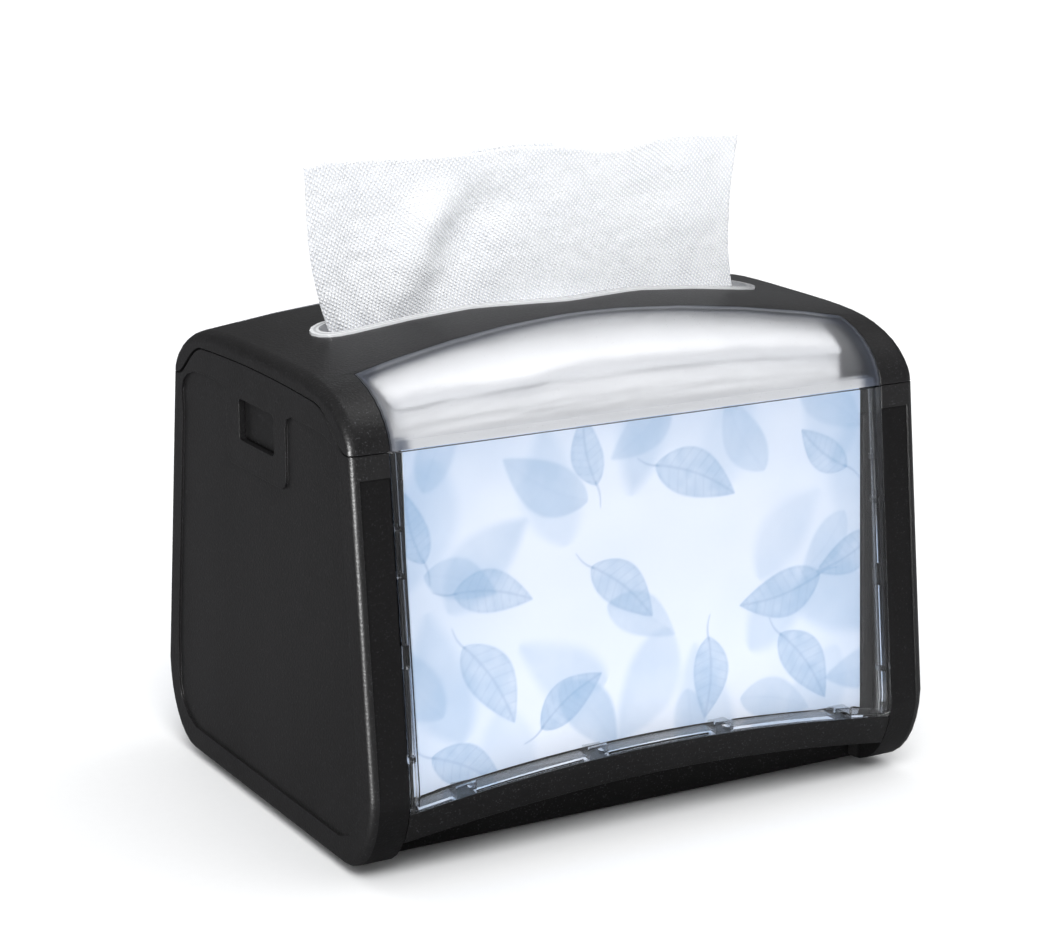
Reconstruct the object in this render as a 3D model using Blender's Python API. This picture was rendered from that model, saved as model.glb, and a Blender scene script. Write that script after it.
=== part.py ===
"""Tabletop napkin dispenser: a moulded body with card panels front and rear, and a hinged lid
with a slot.

Built in millimetres and scaled to metres. +Z is up, the front faces -Y, and the latch end is -X.
z = 0 is the table. Throughout, `end` is -1 at the left (latch) end and 1 at the right (hinge) end,
and `facing` is -1 at the front and 1 at the rear.
"""

import math

import bmesh
import bpy
from mathutils import Vector

MM = 0.001
ENDS = {"left": -1, "right": 1}
FACINGS = {"front": -1, "rear": 1}

# Overall body
HALF_W = 100.85  # half width across the side panels
FACE_Y_TOP = 65.0  # half depth at the parting line
FACE_Y_LOW = 76.7  # half depth where the face meets the lower corner
PART_Z = 131.0  # height of the parting line, front and rear
LOW_Z = 30.0  # height where the lower corner begins
BODY_Z0 = 2.5  # underside of the side panels
CORNER_A = 20.2  # lower corner ellipse, along Y
CORNER_B = LOW_Z - BODY_Z0  # lower corner ellipse, along Z
EDGE_R = 2.2  # rounding of a side panel's outer edge
WALL = 2.65
INNER_X = HALF_W - WALL  # inner face of a side panel's wall
COLUMN_X = 88.2  # inner edge of the columns
GAP = 0.35  # between the lid and the body, and above the arched rails

# Hinge, along Y
AXIS_X = HALF_W + 0.7
AXIS_Z = 143.95
BARREL_R = 2.4
BORE_R = 1.1
PIN_R = 1.0
PIN_HALF_L = 29.6
KNUCKLE_GAP = 0.4
# Start and end of each knuckle along Y
BODY_KNUCKLES = [(-30.0, -18.4), (-5.8, 5.8), (18.4, 30.0)]
LID_KNUCKLES = [(-18.0, -6.2), (6.2, 18.0)]

# Latch button
BUTTON_Z = 126.0
BUTTON_HALF_Y = 12.5
BUTTON_HALF_Z = 6.2
BUTTON_GAP = 0.4  # round the button in its opening

# Fixings under the base
SCREW_X = 91.5
FOOT_X = 80.0
FIXING_Y = 40.0  # screws and feet alike
HEAD_R = 3.1
FOOT_R = 7.0
FIXING_GAP = 0.4  # round a screw head or foot in its recess

# The hinge barrel stands out on one side only, so the body is set off centre
# to keep the box centred on the origin.
X_SHIFT = -(AXIS_X + BARREL_R - HALF_W) / 2

for old in list(bpy.data.objects):
    bpy.data.objects.remove(old, do_unlink=True)


# ---------------------------------------------------------------- solids
def flat(face):
    """True if every corner lies on one plane, within a ten-thousandth of a millimetre."""
    first = face.verts[0].co
    return all(abs((v.co - first).dot(face.normal)) < 1e-4 for v in face.verts)


def solid(verts, faces):
    """Working object from points and faces, with any bent face split into triangles."""
    mesh = bpy.data.meshes.new("part")
    mesh.from_pydata(verts, [], faces)
    bm = bmesh.new()
    bm.from_mesh(mesh)
    bmesh.ops.recalc_face_normals(bm, faces=bm.faces)
    bmesh.ops.triangulate(bm, faces=[face for face in bm.faces if not flat(face)])
    bm.to_mesh(mesh)
    bm.free()
    obj = bpy.data.objects.new("part", mesh)
    bpy.context.scene.collection.objects.link(obj)
    return obj


def loft(rings):
    """Closed solid through rings that all have the same number of points."""
    count = len(rings[0])
    faces = []
    for k in range(len(rings) - 1):
        low, high = k * count, (k + 1) * count
        for i in range(count):
            j = (i + 1) % count
            faces.append((low + i, low + j, high + j, high + i))
    faces.append(tuple(range(count)))
    faces.append(tuple(range((len(rings) - 1) * count, len(rings) * count)))
    return solid([point for ring in rings for point in ring], faces)


def prism_yz(points, x0, x1):
    return loft([[(x, y, z) for y, z in points] for x in (x0, x1)])


def prism_xy(points, z0, z1):
    return loft([[(x, y, z) for x, y in points] for z in (z0, z1)])


def prism_xz(points, y0, y1):
    return loft([[(x, y, z) for x, z in points] for y in (y0, y1)])


def box(x0, x1, y0, y1, z0, z1):
    return prism_xy([(x0, y0), (x1, y0), (x1, y1), (x0, y1)], z0, z1)


def on_axis(axis, along, across_a, across_b):
    """Point at `along` on an axis and at two distances across it."""
    return {
        "X": (along, across_a, across_b),
        "Y": (across_a, along, across_b),
        "Z": (across_a, across_b, along),
    }[axis]


def cylinder(axis, centre, radius, start, stop, count, chamfer=0.0):
    """Round bar along an axis, centred on the other two coordinates."""
    if chamfer:
        stations = [
            (start, radius - chamfer),
            (start + chamfer, radius),
            (stop - chamfer, radius),
            (stop, radius - chamfer),
        ]
    else:
        stations = [(start, radius), (stop, radius)]
    angles = [2 * math.pi * i / count for i in range(count)]
    return loft([
        [
            on_axis(axis, along, centre[0] + r * math.cos(w), centre[1] + r * math.sin(w))
            for w in angles
        ]
        for along, r in stations
    ])


def post(x, y, radius, z0, z1, count, chamfer=0.0):
    return cylinder("Z", (x, y), radius, z0, z1, count, chamfer)


def arc(centre_a, centre_b, radius, start_deg, stop_deg, steps):
    angles = [math.radians(start_deg + (stop_deg - start_deg) * i / steps) for i in range(steps + 1)]
    return [(centre_a + radius * math.cos(w), centre_b + radius * math.sin(w)) for w in angles]


def rounded(half_a, half_b, radius, steps, centre_b=0.0):
    """Rounded rectangle, centred on 0 in its first coordinate."""
    right, left = half_a - radius, -half_a + radius
    high, low = centre_b + half_b - radius, centre_b - half_b + radius
    return (
        arc(right, high, radius, 0, 90, steps)
        + arc(left, high, radius, 90, 180, steps)
        + arc(left, low, radius, 180, 270, steps)
        + arc(right, low, radius, 270, 360, steps)
    )


def span(end, near, far):
    """Range in x between two distances from the middle, at one end, lower value first."""
    return sorted((end * near, end * far))


# ---------------------------------------------------------------- booleans and finishing
def tidy(mesh):
    """Merges points within a micrometre or two, still in millimetres here."""
    bm = bmesh.new()
    bm.from_mesh(mesh)
    bmesh.ops.remove_doubles(bm, verts=bm.verts, dist=0.002)
    bmesh.ops.dissolve_degenerate(bm, edges=bm.edges, dist=0.0005)
    bm.to_mesh(mesh)
    bm.free()


def combine(obj, tool, operation):
    """Applies a boolean to obj and removes the tool."""
    mod = obj.modifiers.new("bool", "BOOLEAN")
    mod.operation = operation
    mod.solver = "EXACT"
    mod.object = tool
    graph = bpy.context.evaluated_depsgraph_get()
    graph.update()
    mesh = bpy.data.meshes.new_from_object(obj.evaluated_get(graph))
    obj.modifiers.remove(mod)
    tidy(mesh)
    obj.data = mesh
    bpy.data.objects.remove(tool, do_unlink=True)


def add(obj, tool):
    combine(obj, tool, "UNION")


def cut(obj, tool):
    combine(obj, tool, "DIFFERENCE")


def keep(obj, tool):
    combine(obj, tool, "INTERSECT")


def finish(obj, name, mat, smooth_deg=35.0):
    """Names and scales a piece, gives it its material, and shades only gentle angles smooth."""
    bm = bmesh.new()
    bm.from_mesh(obj.data)
    bmesh.ops.recalc_face_normals(bm, faces=bm.faces)
    bmesh.ops.scale(bm, vec=(MM, MM, MM), verts=bm.verts)
    for face in bm.faces:
        face.smooth = True
    for edge in bm.edges:
        if len(edge.link_faces) == 2:
            edge.smooth = edge.calc_face_angle(0.0) < math.radians(smooth_deg)
    bm.to_mesh(obj.data)
    bm.free()
    obj.data.materials.clear()
    obj.data.materials.append(mat)
    obj.name = obj.data.name = name


# ---------------------------------------------------------------- materials
def material(name, colour, roughness, metallic=0.0, alpha=1.0):
    mat = bpy.data.materials.new(name)
    mat.use_nodes = True
    inputs = mat.node_tree.nodes["Principled BSDF"].inputs
    inputs["Base Color"].default_value = (*colour, 1.0)
    inputs["Roughness"].default_value = roughness
    inputs["Metallic"].default_value = metallic
    inputs["Alpha"].default_value = alpha
    mat.diffuse_color = (*colour, alpha)
    return mat


BLACK = material("black_plastic", colour=(0.017, 0.016, 0.0165), roughness=0.42)
BLACK_IN = material("black_plastic_inner", colour=(0.020, 0.019, 0.019), roughness=0.55)
BUTTON = material("button_plastic", colour=(0.015, 0.0145, 0.015), roughness=0.38)
SMOKE = material("smoky_clear_plastic", colour=(0.62, 0.64, 0.66), roughness=0.3, alpha=0.45)
CLEAR = material("clear_plastic", colour=(0.9, 0.93, 0.95), roughness=0.06, alpha=0.25)
CARD = material("printed_card", colour=(0.72, 0.80, 0.92), roughness=0.6)
PAPER = material("napkin_paper", colour=(0.88, 0.88, 0.88), roughness=0.95)
STEEL = material("spring_steel", colour=(0.56, 0.57, 0.58), roughness=0.28, metallic=1.0)
ZINC = material("zinc_screw", colour=(0.48, 0.49, 0.50), roughness=0.35, metallic=1.0)
RUBBER = material("foot_rubber", colour=(0.03, 0.03, 0.03), roughness=0.85)


# ---------------------------------------------------------------- body outlines
# Half depths of a side panel's top edge, from the corner to the middle
SHOULDER_Y = [
    FACE_Y_TOP, 62.6, 61.0, 59.4, 57.6, 55.6, 53.4, 51.0,
    48.4, 45.6, 42.6, 38.0, 32.0, 24.0, 12.0, 0.0,
]
SHOULDER_OUT_Y = 62.6  # where the top edge begins to rise
SHOULDER_RUN = 21.5  # depth over which it rises
CROWN_Y = 41.1  # half depth of the crown


def plane_y(z):
    """Half depth of the sloping front and rear faces, carried on straight below the corner."""
    return FACE_Y_LOW + (FACE_Y_TOP - FACE_Y_LOW) * (z - LOW_Z) / (PART_Z - LOW_Z)


def face_y(z):
    """Half depth of the same faces, following the rounded lower corner."""
    if z >= LOW_Z:
        return plane_y(z)
    drop = min(1.0, (LOW_Z - z) / CORNER_B)
    return FACE_Y_LOW - CORNER_A + CORNER_A * math.sqrt(1 - drop * drop)


def profile(facing, heights, inset=0.0):
    """(y, z) points down or up the front or rear face, drawn in by inset."""
    return [(facing * (face_y(z) - inset), z) for z in heights]


def slab(facing, depth_at, z0, z1, inset_a, inset_b, x0, x1):
    """Four-sided prism between two insets from a face; depth_at gives half depth at a height."""
    rows = [(z0, inset_a), (z0, inset_b), (z1, inset_b), (z1, inset_a)]
    return prism_yz([(facing * (depth_at(z) - inset), z) for z, inset in rows], x0, x1)


def corner_curve(degrees, inset):
    """(y, z) points round the lower corner, from the underside at 0 to the face at 90."""
    angles = [math.radians(deg) for deg in degrees]
    return [
        (
            FACE_Y_LOW - CORNER_A + (CORNER_A - inset) * math.sin(w),
            LOW_Z - (CORNER_B - inset) * math.cos(w),
        )
        for w in angles
    ]


def shoulder_z(y):
    """Top edge of a side panel: flat at the corners, then an S up to a long flat crown."""
    t = min(1.0, max(0.0, (SHOULDER_OUT_Y - abs(y)) / SHOULDER_RUN))
    rise = t * t * (3 - 2 * t)
    bulge = 1.1 * math.sin(math.pi * t) ** 2
    crown = 1.2 * (1 - (min(abs(y), CROWN_Y) / CROWN_Y) ** 2)
    return PART_Z + 11.6 * rise + bulge + crown


# ---------------------------------------------------------------- hinge features
def hinge_bar(radius, start, stop, count):
    return cylinder("Y", (AXIS_X, AXIS_Z), radius, start, stop, count)


def add_knuckles(obj, knuckles, web):
    """Barrels, each tied to the wall by a web of the given XZ outline."""
    for start, stop in knuckles:
        add(obj, hinge_bar(BARREL_R, start, stop, 24))
        add(obj, prism_xz(web, start, stop))


def clear_knuckles(obj, knuckles):
    for start, stop in knuckles:
        tool = hinge_bar(BARREL_R + KNUCKLE_GAP, start - KNUCKLE_GAP, stop + KNUCKLE_GAP, 24)
        cut(obj, tool)


def bore_hinge(obj):
    cut(obj, hinge_bar(BORE_R, -33, 33, 20))


# ---------------------------------------------------------------- side panels
TOP_WALL = 2.4
COLUMN_WALL = 2.3
COLUMN_HOLLOW_Z = 128.3  # top of the hollow in a column
RECESS_D = 0.8  # depth of the side recess
RECESS_Z = (11.0, 134.6)
RIB_Y = 30.0
BOSS_R = 3.6
BOSS_BORE_R = 1.45
# Rear half of the side recess, (y, z): lower corner, then the column's edge, then the shoulder
RECESS_CORNER = [(54.0, 11.0), (60.5, 13.2), (65.0, 17.0)]
RECESS_EDGE_Z = [22.0, 40.0, 80.0, 118.0]
RECESS_SHOULDER = [(58.6, 126.0), (56.8, 129.6), (53.6, 132.2), (47.5, 134.2), (40.0, 134.6)]
# Raised tab round the button, (y, z): flared tops of its two edges, and its lower corners
TAB_REAR = [(26.5, 134.6), (23.6, 133.2), (22.5, 130.4)]
TAB_FRONT = [(-21.0, 130.4), (-22.1, 133.2), (-25.0, 134.6)]
TAB_CORNER_Y = (-16.9, 18.4)
TAB_CORNER_Z = 114.6
TAB_CORNER_R = 4.1
# XZ outline of the web under a body knuckle
BODY_WEB = [
    (HALF_W - 2.0, 136.0),
    (HALF_W - 0.1, 136.0),
    (HALF_W + 2.6, 142.6),
    (HALF_W - 0.9, 143.4),
    (HALF_W - 2.0, 143.0),
]


def panel_ring(x, inset):
    """Outline of a side panel at x, drawn in from the front, rear and bottom by inset."""
    half = corner_curve([90 * i / 8 for i in range(9)], inset)
    half += profile(1, [80.0], inset)
    scale = (FACE_Y_TOP - inset) / FACE_Y_TOP
    half += [(y * scale, shoulder_z(y)) for y in SHOULDER_Y[:-1]]
    ring = half + [(0.0, shoulder_z(0.0))] + [(-y, z) for y, z in reversed(half)]
    return [(x, y, z) for y, z in ring]


def panel_blank(end):
    rings = [panel_ring(end * x, 0.0) for x in (COLUMN_X, HALF_W - EDGE_R)]
    for k in range(1, 6):
        w = math.radians(90 * k / 5)
        x = HALF_W - EDGE_R + EDGE_R * math.sin(w)
        rings.append(panel_ring(end * x, EDGE_R * (1 - math.cos(w))))
    return loft(rings)


def hollow_panel(obj, end):
    # Between the columns, open inboard and underneath
    top = [(y, shoulder_z(y) - TOP_WALL) for y in range(54, -55, -6)]
    cut(obj, prism_yz([(-54, -5), (54, -5)] + top, end * 85, end * INNER_X))
    # Inside each column
    curve = corner_curve([20 + 70 * i / 7 for i in range(8)], COLUMN_WALL)
    for facing in (-1, 1):
        points = [(facing * y, z) for y, z in curve]
        points += profile(facing, [COLUMN_HOLLOW_Z], COLUMN_WALL)
        points += [(facing * 50.0, COLUMN_HOLLOW_Z), (facing * 50.0, curve[0][1])]
        cut(obj, prism_yz(points, end * (COLUMN_X + 2.2), end * INNER_X))


def recess_outline(end):
    """YZ outline of the side recess; the latch end leaves out the tab round its button."""
    rear = RECESS_CORNER + profile(1, RECESS_EDGE_Z, 8.3) + RECESS_SHOULDER
    outline = [(0.0, RECESS_Z[0])] + rear
    if end < 0:
        outline += TAB_REAR
        outline += arc(TAB_CORNER_Y[1], TAB_CORNER_Z, TAB_CORNER_R, 0, -90, 4)
        outline += arc(TAB_CORNER_Y[0], TAB_CORNER_Z, TAB_CORNER_R, -90, -180, 4)
        outline += TAB_FRONT
    return outline + [(-y, z) for y, z in reversed(rear)]


def recess_panel(obj, end):
    # Shallow inset down the face of each column, running out into the lower corner
    for facing in (-1, 1):
        x0, x1 = span(end, COLUMN_X - 1.0, HALF_W - EDGE_R - 0.45)
        cut(obj, slab(facing, plane_y, 12.0, 123.8, 0.5, -6.0, x0, x1))
    # Shallow recess over the side face
    cut(obj, prism_yz(recess_outline(end), end * (HALF_W - RECESS_D), end * (HALF_W + 3)))


def add_ribs_and_bosses(obj, end):
    # Ribs that guide the napkins' ends
    for y in (-RIB_Y, RIB_Y):
        add(obj, box(*span(end, 84.3, INNER_X + 0.4), y - 0.8, y + 0.8, 12, 126))
    # Screw bosses, each tied to the wall
    for y in (-FIXING_Y, FIXING_Y):
        add(obj, post(end * SCREW_X, y, BOSS_R, 3.5, 20.0, 20))
        add(obj, box(*span(end, SCREW_X, INNER_X + 0.4), y - 1.0, y + 1.0, 8.6, 19.5))
        cut(obj, post(end * SCREW_X, y, BOSS_BORE_R, 3.0, 16.0, 16))


def button_prism(half_y, half_z, radius, x0, x1):
    return prism_yz(rounded(half_y, half_z, radius, 4, centre_b=BUTTON_Z), x0, x1)


def add_latch_housing(obj):
    half_y, half_z = BUTTON_HALF_Y + BUTTON_GAP, BUTTON_HALF_Z + BUTTON_GAP
    cut(obj, button_prism(half_y, half_z, 1.6, -HALF_W - 3, -INNER_X + 0.6))
    # Two side walls and a cross wall behind the button
    for y in (-18.8, 17.0):
        add(obj, box(-INNER_X - 0.4, -88.4, y, y + 1.8, 110.0, 142.2))
    add(obj, box(-90.0, -88.4, -17.6, 17.6, 117.0, 136.0))
    # Slot in the crown for the latch arm and the lid's strike
    cut(obj, box(-97.3, -89.8, -7.5, 7.5, 137.5, 148.0))


def side_panel(name, end):
    obj = panel_blank(end)
    hollow_panel(obj, end)
    recess_panel(obj, end)
    add_ribs_and_bosses(obj, end)
    if end < 0:
        add_latch_housing(obj)
    else:
        add_knuckles(obj, BODY_KNUCKLES, BODY_WEB)
        clear_knuckles(obj, LID_KNUCKLES)
        bore_hinge(obj)
    finish(obj, name, BLACK)


# ---------------------------------------------------------------- front and rear
CARD_TOP_Y = 61.2  # card's outer surface at the parting line
CARD_SLOPE = 0.0542  # card lean, in mm of depth per mm of height
CARD_T = 0.5
CARD_HALF_W = 82.2
ARCH_HALF_W = 85.0  # where the arches reach their full fall
FRAME_HALF_W = COLUMN_X - 0.3
CLEAR_HALF_W = COLUMN_X - 0.4
CLEAR_T = 1.4
CLEAR_TOP = 130.7
# Tabs on the clear panel's side flanges: (middle height, tab height)
SNAP_TABS = [(108.0, 1.6), (94.0, 1.6), (70.0, 7.0), (39.0, 1.8)]
CLIP_X = [-69.0, -23.0, 23.0, 69.0]


def arch_top(x):
    return 29.0 - 6.2 * (x / ARCH_HALF_W) ** 2


def arch_low(x):
    return 19.8 - 7.0 * (x / ARCH_HALF_W) ** 2


def card_y(z):
    return CARD_TOP_Y + CARD_SLOPE * (PART_Z - z)


def keep_arch(obj, facing, half, low, high):
    """Keeps what lies between two heights, each a function of x, as far as |x| = half."""
    xs = [-half + 2 * half * i / 24 for i in range(25)]
    outline = [(x, low(x)) for x in xs] + [(x, high(x)) for x in reversed(xs)]
    keep(obj, prism_xz(outline, facing * 50, facing * 90))


def frame_part(name, facing):
    """Arched rail with the card's backing wall."""
    half = FRAME_HALF_W
    heights = [36.0, 30.0, 27.0, 24.0, 21.0, 18.0, 15.5, 13.0, 11.0, 9.0]
    back = [(facing * 62.5, 9.0), (facing * 62.5, 36.0)]
    rail = prism_yz(profile(facing, heights) + back, -half, half)
    keep_arch(rail, facing, half + 2, arch_low, arch_top)

    heights = [36.0, 30.0, 25.0, 20.0, 16.0, 13.0, 10.0, 7.0, 5.0]
    back = [(facing * 55.0, 5.0), (facing * 55.0, 36.0)]
    hollow = prism_yz(profile(facing, heights, 2.2) + back, -half + 1.8, half - 1.8)
    keep_arch(hollow, facing, half + 2, lambda x: arch_low(x) - 8, lambda x: arch_top(x) - 2.2)
    cut(rail, hollow)

    wall = slab(facing, card_y, 8.0, 130.6, 0.8, 2.5, -half, half)
    keep_arch(wall, facing, half + 2, lambda x: arch_low(x) + 3.5, lambda x: 150.0)
    add(rail, wall)
    # Strips that hold the card's side edges
    for end in (-1, 1):
        add(rail, slab(facing, card_y, 32.0, 121.8, 1.2, -1.0, *span(end, 82.7, 84.1)))
    finish(rail, name, BLACK_IN)


def add_clear_flanges(obj, facing):
    """Deep outer flange and shallow inner rib up each side."""
    edge = profile(facing, [30.0, 25.0, 20.0, 15.0], 0.2)
    top = profile(facing, [CLEAR_TOP], 0.2)
    flange_back = [(facing * 69.6, 15.0), (facing * 70.0, 28.0)]
    flange_back += profile(facing, [88.0], 6.0)
    flange_back += [(facing * (card_y(CLEAR_TOP) - 0.45), CLEAR_TOP)]
    rib_back = profile(facing, [15.0, 20.0, 25.0, 30.0, CLEAR_TOP], 2.6)
    for end in (-1, 1):
        flange_x = span(end, CLEAR_HALF_W - 1.3, CLEAR_HALF_W)
        add(obj, prism_yz(edge + flange_back + top, *flange_x))
        add(obj, prism_yz(edge + rib_back + top, *span(end, 84.4, 85.2)))


def clear_panel(name, facing):
    half = CLEAR_HALF_W
    heights = [16.0, 18.5, 21.0, 23.5, 26.0, 30.0, CLEAR_TOP]
    sheet = profile(facing, heights) + profile(facing, reversed(heights), CLEAR_T)
    obj = prism_yz(sheet, -half, half)
    add_clear_flanges(obj, facing)
    keep_arch(obj, facing, half + 2, lambda x: arch_top(x) + GAP, lambda x: 140.0)

    # Rim along the arch
    points = profile(facing, [45.0, 30.0, 25.0, 20.0, 15.0], 0.2)
    points += [(facing * 70.2, 15.0), (facing * 69.6, 45.0)]
    rim = prism_yz(points, -half + 0.5, half - 0.5)
    keep_arch(rim, facing, half + 2, lambda x: arch_top(x) + GAP + 0.1, lambda x: arch_top(x) + 1.5)
    add(obj, rim)

    # Snap tabs on the side flanges and clips on the lower rim
    for end in (-1, 1):
        for z, height in SNAP_TABS:
            z0, z1 = z - height / 2, z + height / 2
            add(obj, slab(facing, plane_y, z0, z1, 0.6, 4.6, *span(end, 84.8, half - 0.6)))
    for x in CLIP_X:
        z = arch_top(x) + 1.0
        add(obj, slab(facing, face_y, z, z + 2.4, 0.6, 5.6, x - 3.0, x + 3.0))
    finish(obj, name, CLEAR)


def insert_card(name, facing):
    obj = slab(facing, card_y, 15.0, 130.4, 0.0, CARD_T, -CARD_HALF_W, CARD_HALF_W)
    keep_arch(obj, facing, 86.0, lambda x: arch_top(x) + 0.8, lambda x: 140.0)
    finish(obj, name, CARD)


# ---------------------------------------------------------------- base
TRAY_HALF_W = 97.8
TRAY_HALF_D = 52.5
TRAY_R = 6.0
TRAY_WALL = 1.8
SPRING_X = 45.0  # pusher springs, either side of the middle


def spring_seat(x, outer_r, inner_r, ring_z, bore_z, count):
    """Round wall with a bore; ring_z and bore_z are (bottom, top)."""
    seat = post(x, 0.0, outer_r, *ring_z, count)
    cut(seat, post(x, 0.0, inner_r, *bore_z, count))
    return seat


def base_tray():
    half_w, half_d = TRAY_HALF_W - TRAY_WALL, TRAY_HALF_D - TRAY_WALL
    tray = prism_xy(rounded(TRAY_HALF_W, TRAY_HALF_D, TRAY_R, 5), 1.0, 8.0)
    cut(tray, prism_xy(rounded(half_w, half_d, TRAY_R - TRAY_WALL, 5), 3.2, 12.0))
    for facing in (-1, 1):
        # Raised front and rear walls
        add(tray, box(-87.0, 87.0, *span(facing, half_d, TRAY_HALF_D), 2.0, 25.0))
        # Recesses for feet and screw heads, and the screw holes
        y = facing * FIXING_Y
        for end in (-1, 1):
            cut(tray, post(end * FOOT_X, y, FOOT_R + FIXING_GAP, 0.0, 2.0, 24))
            cut(tray, post(end * SCREW_X, y, HEAD_R + FIXING_GAP, 0.0, 2.1, 20))
            cut(tray, post(end * SCREW_X, y, 1.7, 0.0, 5.0, 16))
    for end in (-1, 1):
        add(tray, spring_seat(end * SPRING_X, 19.6, 18.0, (3.0, 5.6), (2.0, 7.0), 24))
    finish(tray, "base_tray", BLACK_IN)


def rubber_foot(name, x, y):
    finish(post(x, y, FOOT_R, 0.0, 1.8, 24, chamfer=0.4), name, RUBBER)


def base_screw(name, x, y):
    """Screw with a cross recess underneath."""
    screw = post(x, y, HEAD_R, 1.15, 2.05, 20)
    add(screw, post(x, y, 1.35, 1.6, 14.0, 16))
    for half_x, half_y in ((1.9, 0.35), (0.35, 1.9)):
        cut(screw, box(x - half_x, x + half_x, y - half_y, y + half_y, 0.5, 1.65))
    finish(screw, name, ZINC)


# ---------------------------------------------------------------- lid
LID_Z0 = PART_Z + GAP
LID_HALF_D = 65.1
LID_CROWN = 158.9
LID_FALL = 6.95  # drop of the crown at |x| = 88
LID_END_R = 3.4
LID_P = 4.3  # exponents of the cross-section, along Y and Z
LID_Q = 1.65
CAVITY_Z = 118.0  # lower end of the tools that hollow the lid
COVER_T = 1.8
SHELL_D0 = 2.05  # inner shell's outer and inner surfaces, below the lid's outer form
SHELL_D1 = 3.5
WINDOW_X = 88.0
LID_STATIONS = [10.37, 31.29, 52.31, 73.43]  # distances from the middle, along X
# Angles round half a cross-section, from the edge to the crown
LID_ANGLES = [0, 9, 18, 27, 36, 45, 54, 62, 69, 75.5, 81, 85.5, 88.7, 90]
LID_ANGLES_COARSE = [0, 14, 28, 42, 56, 68, 78, 86, 90]
# Slots in the lid: (half length, half width, swelling, half length of the swelling)
COVER_SLOT = (81.55, 9.65, 7.4, 36.0)
RIM_SLOT = (81.3, 9.4, 7.4, 36.0)
OPEN_SLOT = (78.3, 6.4, 7.2, 34.0)
# XZ outline of the web beside a lid knuckle
LID_WEB = [
    (HALF_W - 1.65, 145.0),
    (HALF_W - 0.2, 145.0),
    (HALF_W + 1.8, 145.6),
    (HALF_W - 0.25, 147.6),
    (HALF_W - 1.65, 147.0),
]


def crown_z(x):
    return LID_CROWN - LID_FALL * (x / 88.0) ** 2


def lid_solid(depth, bottom=LID_Z0, coarse=False):
    """The lid's outer form drawn in by depth. A lower bottom makes it a cutter."""
    half_w = HALF_W - depth
    radius = max(LID_END_R - depth, 1.2)
    # (x, inset), from the middle out round the end
    stations = [(x, 0.0) for x in LID_STATIONS + [half_w - radius]]
    steps = 2 if coarse else 4
    for k in range(1, steps + 1):
        w = math.radians(90 * k / steps)
        stations.append((half_w - radius + radius * math.sin(w), radius * (1 - math.cos(w))))
    stations = [(-x, inset) for x, inset in reversed(stations)] + stations
    rings = []
    for x, inset in stations:
        half_d = LID_HALF_D - depth - 0.62 * inset
        height = crown_z(x) - depth - inset - LID_Z0
        half = []
        for deg in LID_ANGLES_COARSE if coarse else LID_ANGLES:
            w = math.radians(deg)
            cosine = 0.0 if deg == 90 else math.cos(w)
            y = -half_d * cosine ** (2 / LID_P)
            half.append((y, LID_Z0 + height * math.sin(w) ** (2 / LID_Q)))
        section = half + [(-y, z) for y, z in reversed(half[:-1])]
        if bottom < LID_Z0:
            section = [(-half_d, bottom)] + section + [(half_d, bottom)]
        rings.append([(x, y, z) for y, z in section])
    return loft(rings)


def window_prism(facing, inset):
    """Plan outline of a window, open past the front or rear of the lid."""
    half_w = WINDOW_X - inset
    points = []
    for i in range(-12, 13):
        x = half_w * (i / 12.0)
        edge = 30.0 + 12.0 * (abs(x) / WINDOW_X) ** 1.42
        points.append((x, facing * (edge + inset)))
    points += [(half_w, facing * 75.0), (-half_w, facing * 75.0)]
    return prism_xy(points, 120.0, 170.0)


def slot_prism(slot, z0):
    """Stadium with a swelling in the middle of its long sides, carried up past the lid."""
    half_x, half_y, swelling, reach = slot

    def y_at(x):
        t = max(0.0, 1 - abs(x) / reach)
        return half_y + swelling * t * t * (3 - 2 * t)

    straight = half_x - half_y
    xs = [straight, 44.0, 32.0, 26.0, 21.0, 16.0, 11.0, 5.5, 0.0]
    xs += [-x for x in reversed(xs[:-1])]
    upper = [(x, y_at(x)) for x in xs]
    left = arc(-straight, 0, half_y, 90, 270, 8)[1:-1]
    lower = [(-x, -y) for x, y in upper]
    right = arc(straight, 0, half_y, -90, 90, 8)[1:-1]
    return prism_xy(upper + left + lower + right, z0, 170.0)


def cut_over_panels(obj):
    """Clears the lid GAP above the top edges of the side panels."""
    low = PART_Z + GAP
    ys = SHOULDER_Y[:-1] + [-y for y in reversed(SHOULDER_Y)]
    points = [(90.0, low)] + [(y, shoulder_z(y) + GAP) for y in ys]
    points += [(-90.0, low), (-90.0, 110.0), (90.0, 110.0)]
    for end in (-1, 1):
        cut(obj, prism_yz(points, *span(end, 87.9, 110.0)))


def lid_cover():
    cover = lid_solid(0.0)
    cut(cover, lid_solid(COVER_T, bottom=CAVITY_Z))
    for facing in (-1, 1):
        cut(cover, window_prism(facing, 0.0))
    cut(cover, slot_prism(COVER_SLOT, 140.0))
    cut_over_panels(cover)
    clear_knuckles(cover, BODY_KNUCKLES)
    add_knuckles(cover, LID_KNUCKLES, LID_WEB)
    bore_hinge(cover)
    finish(cover, "lid_cover", BLACK)


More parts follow.
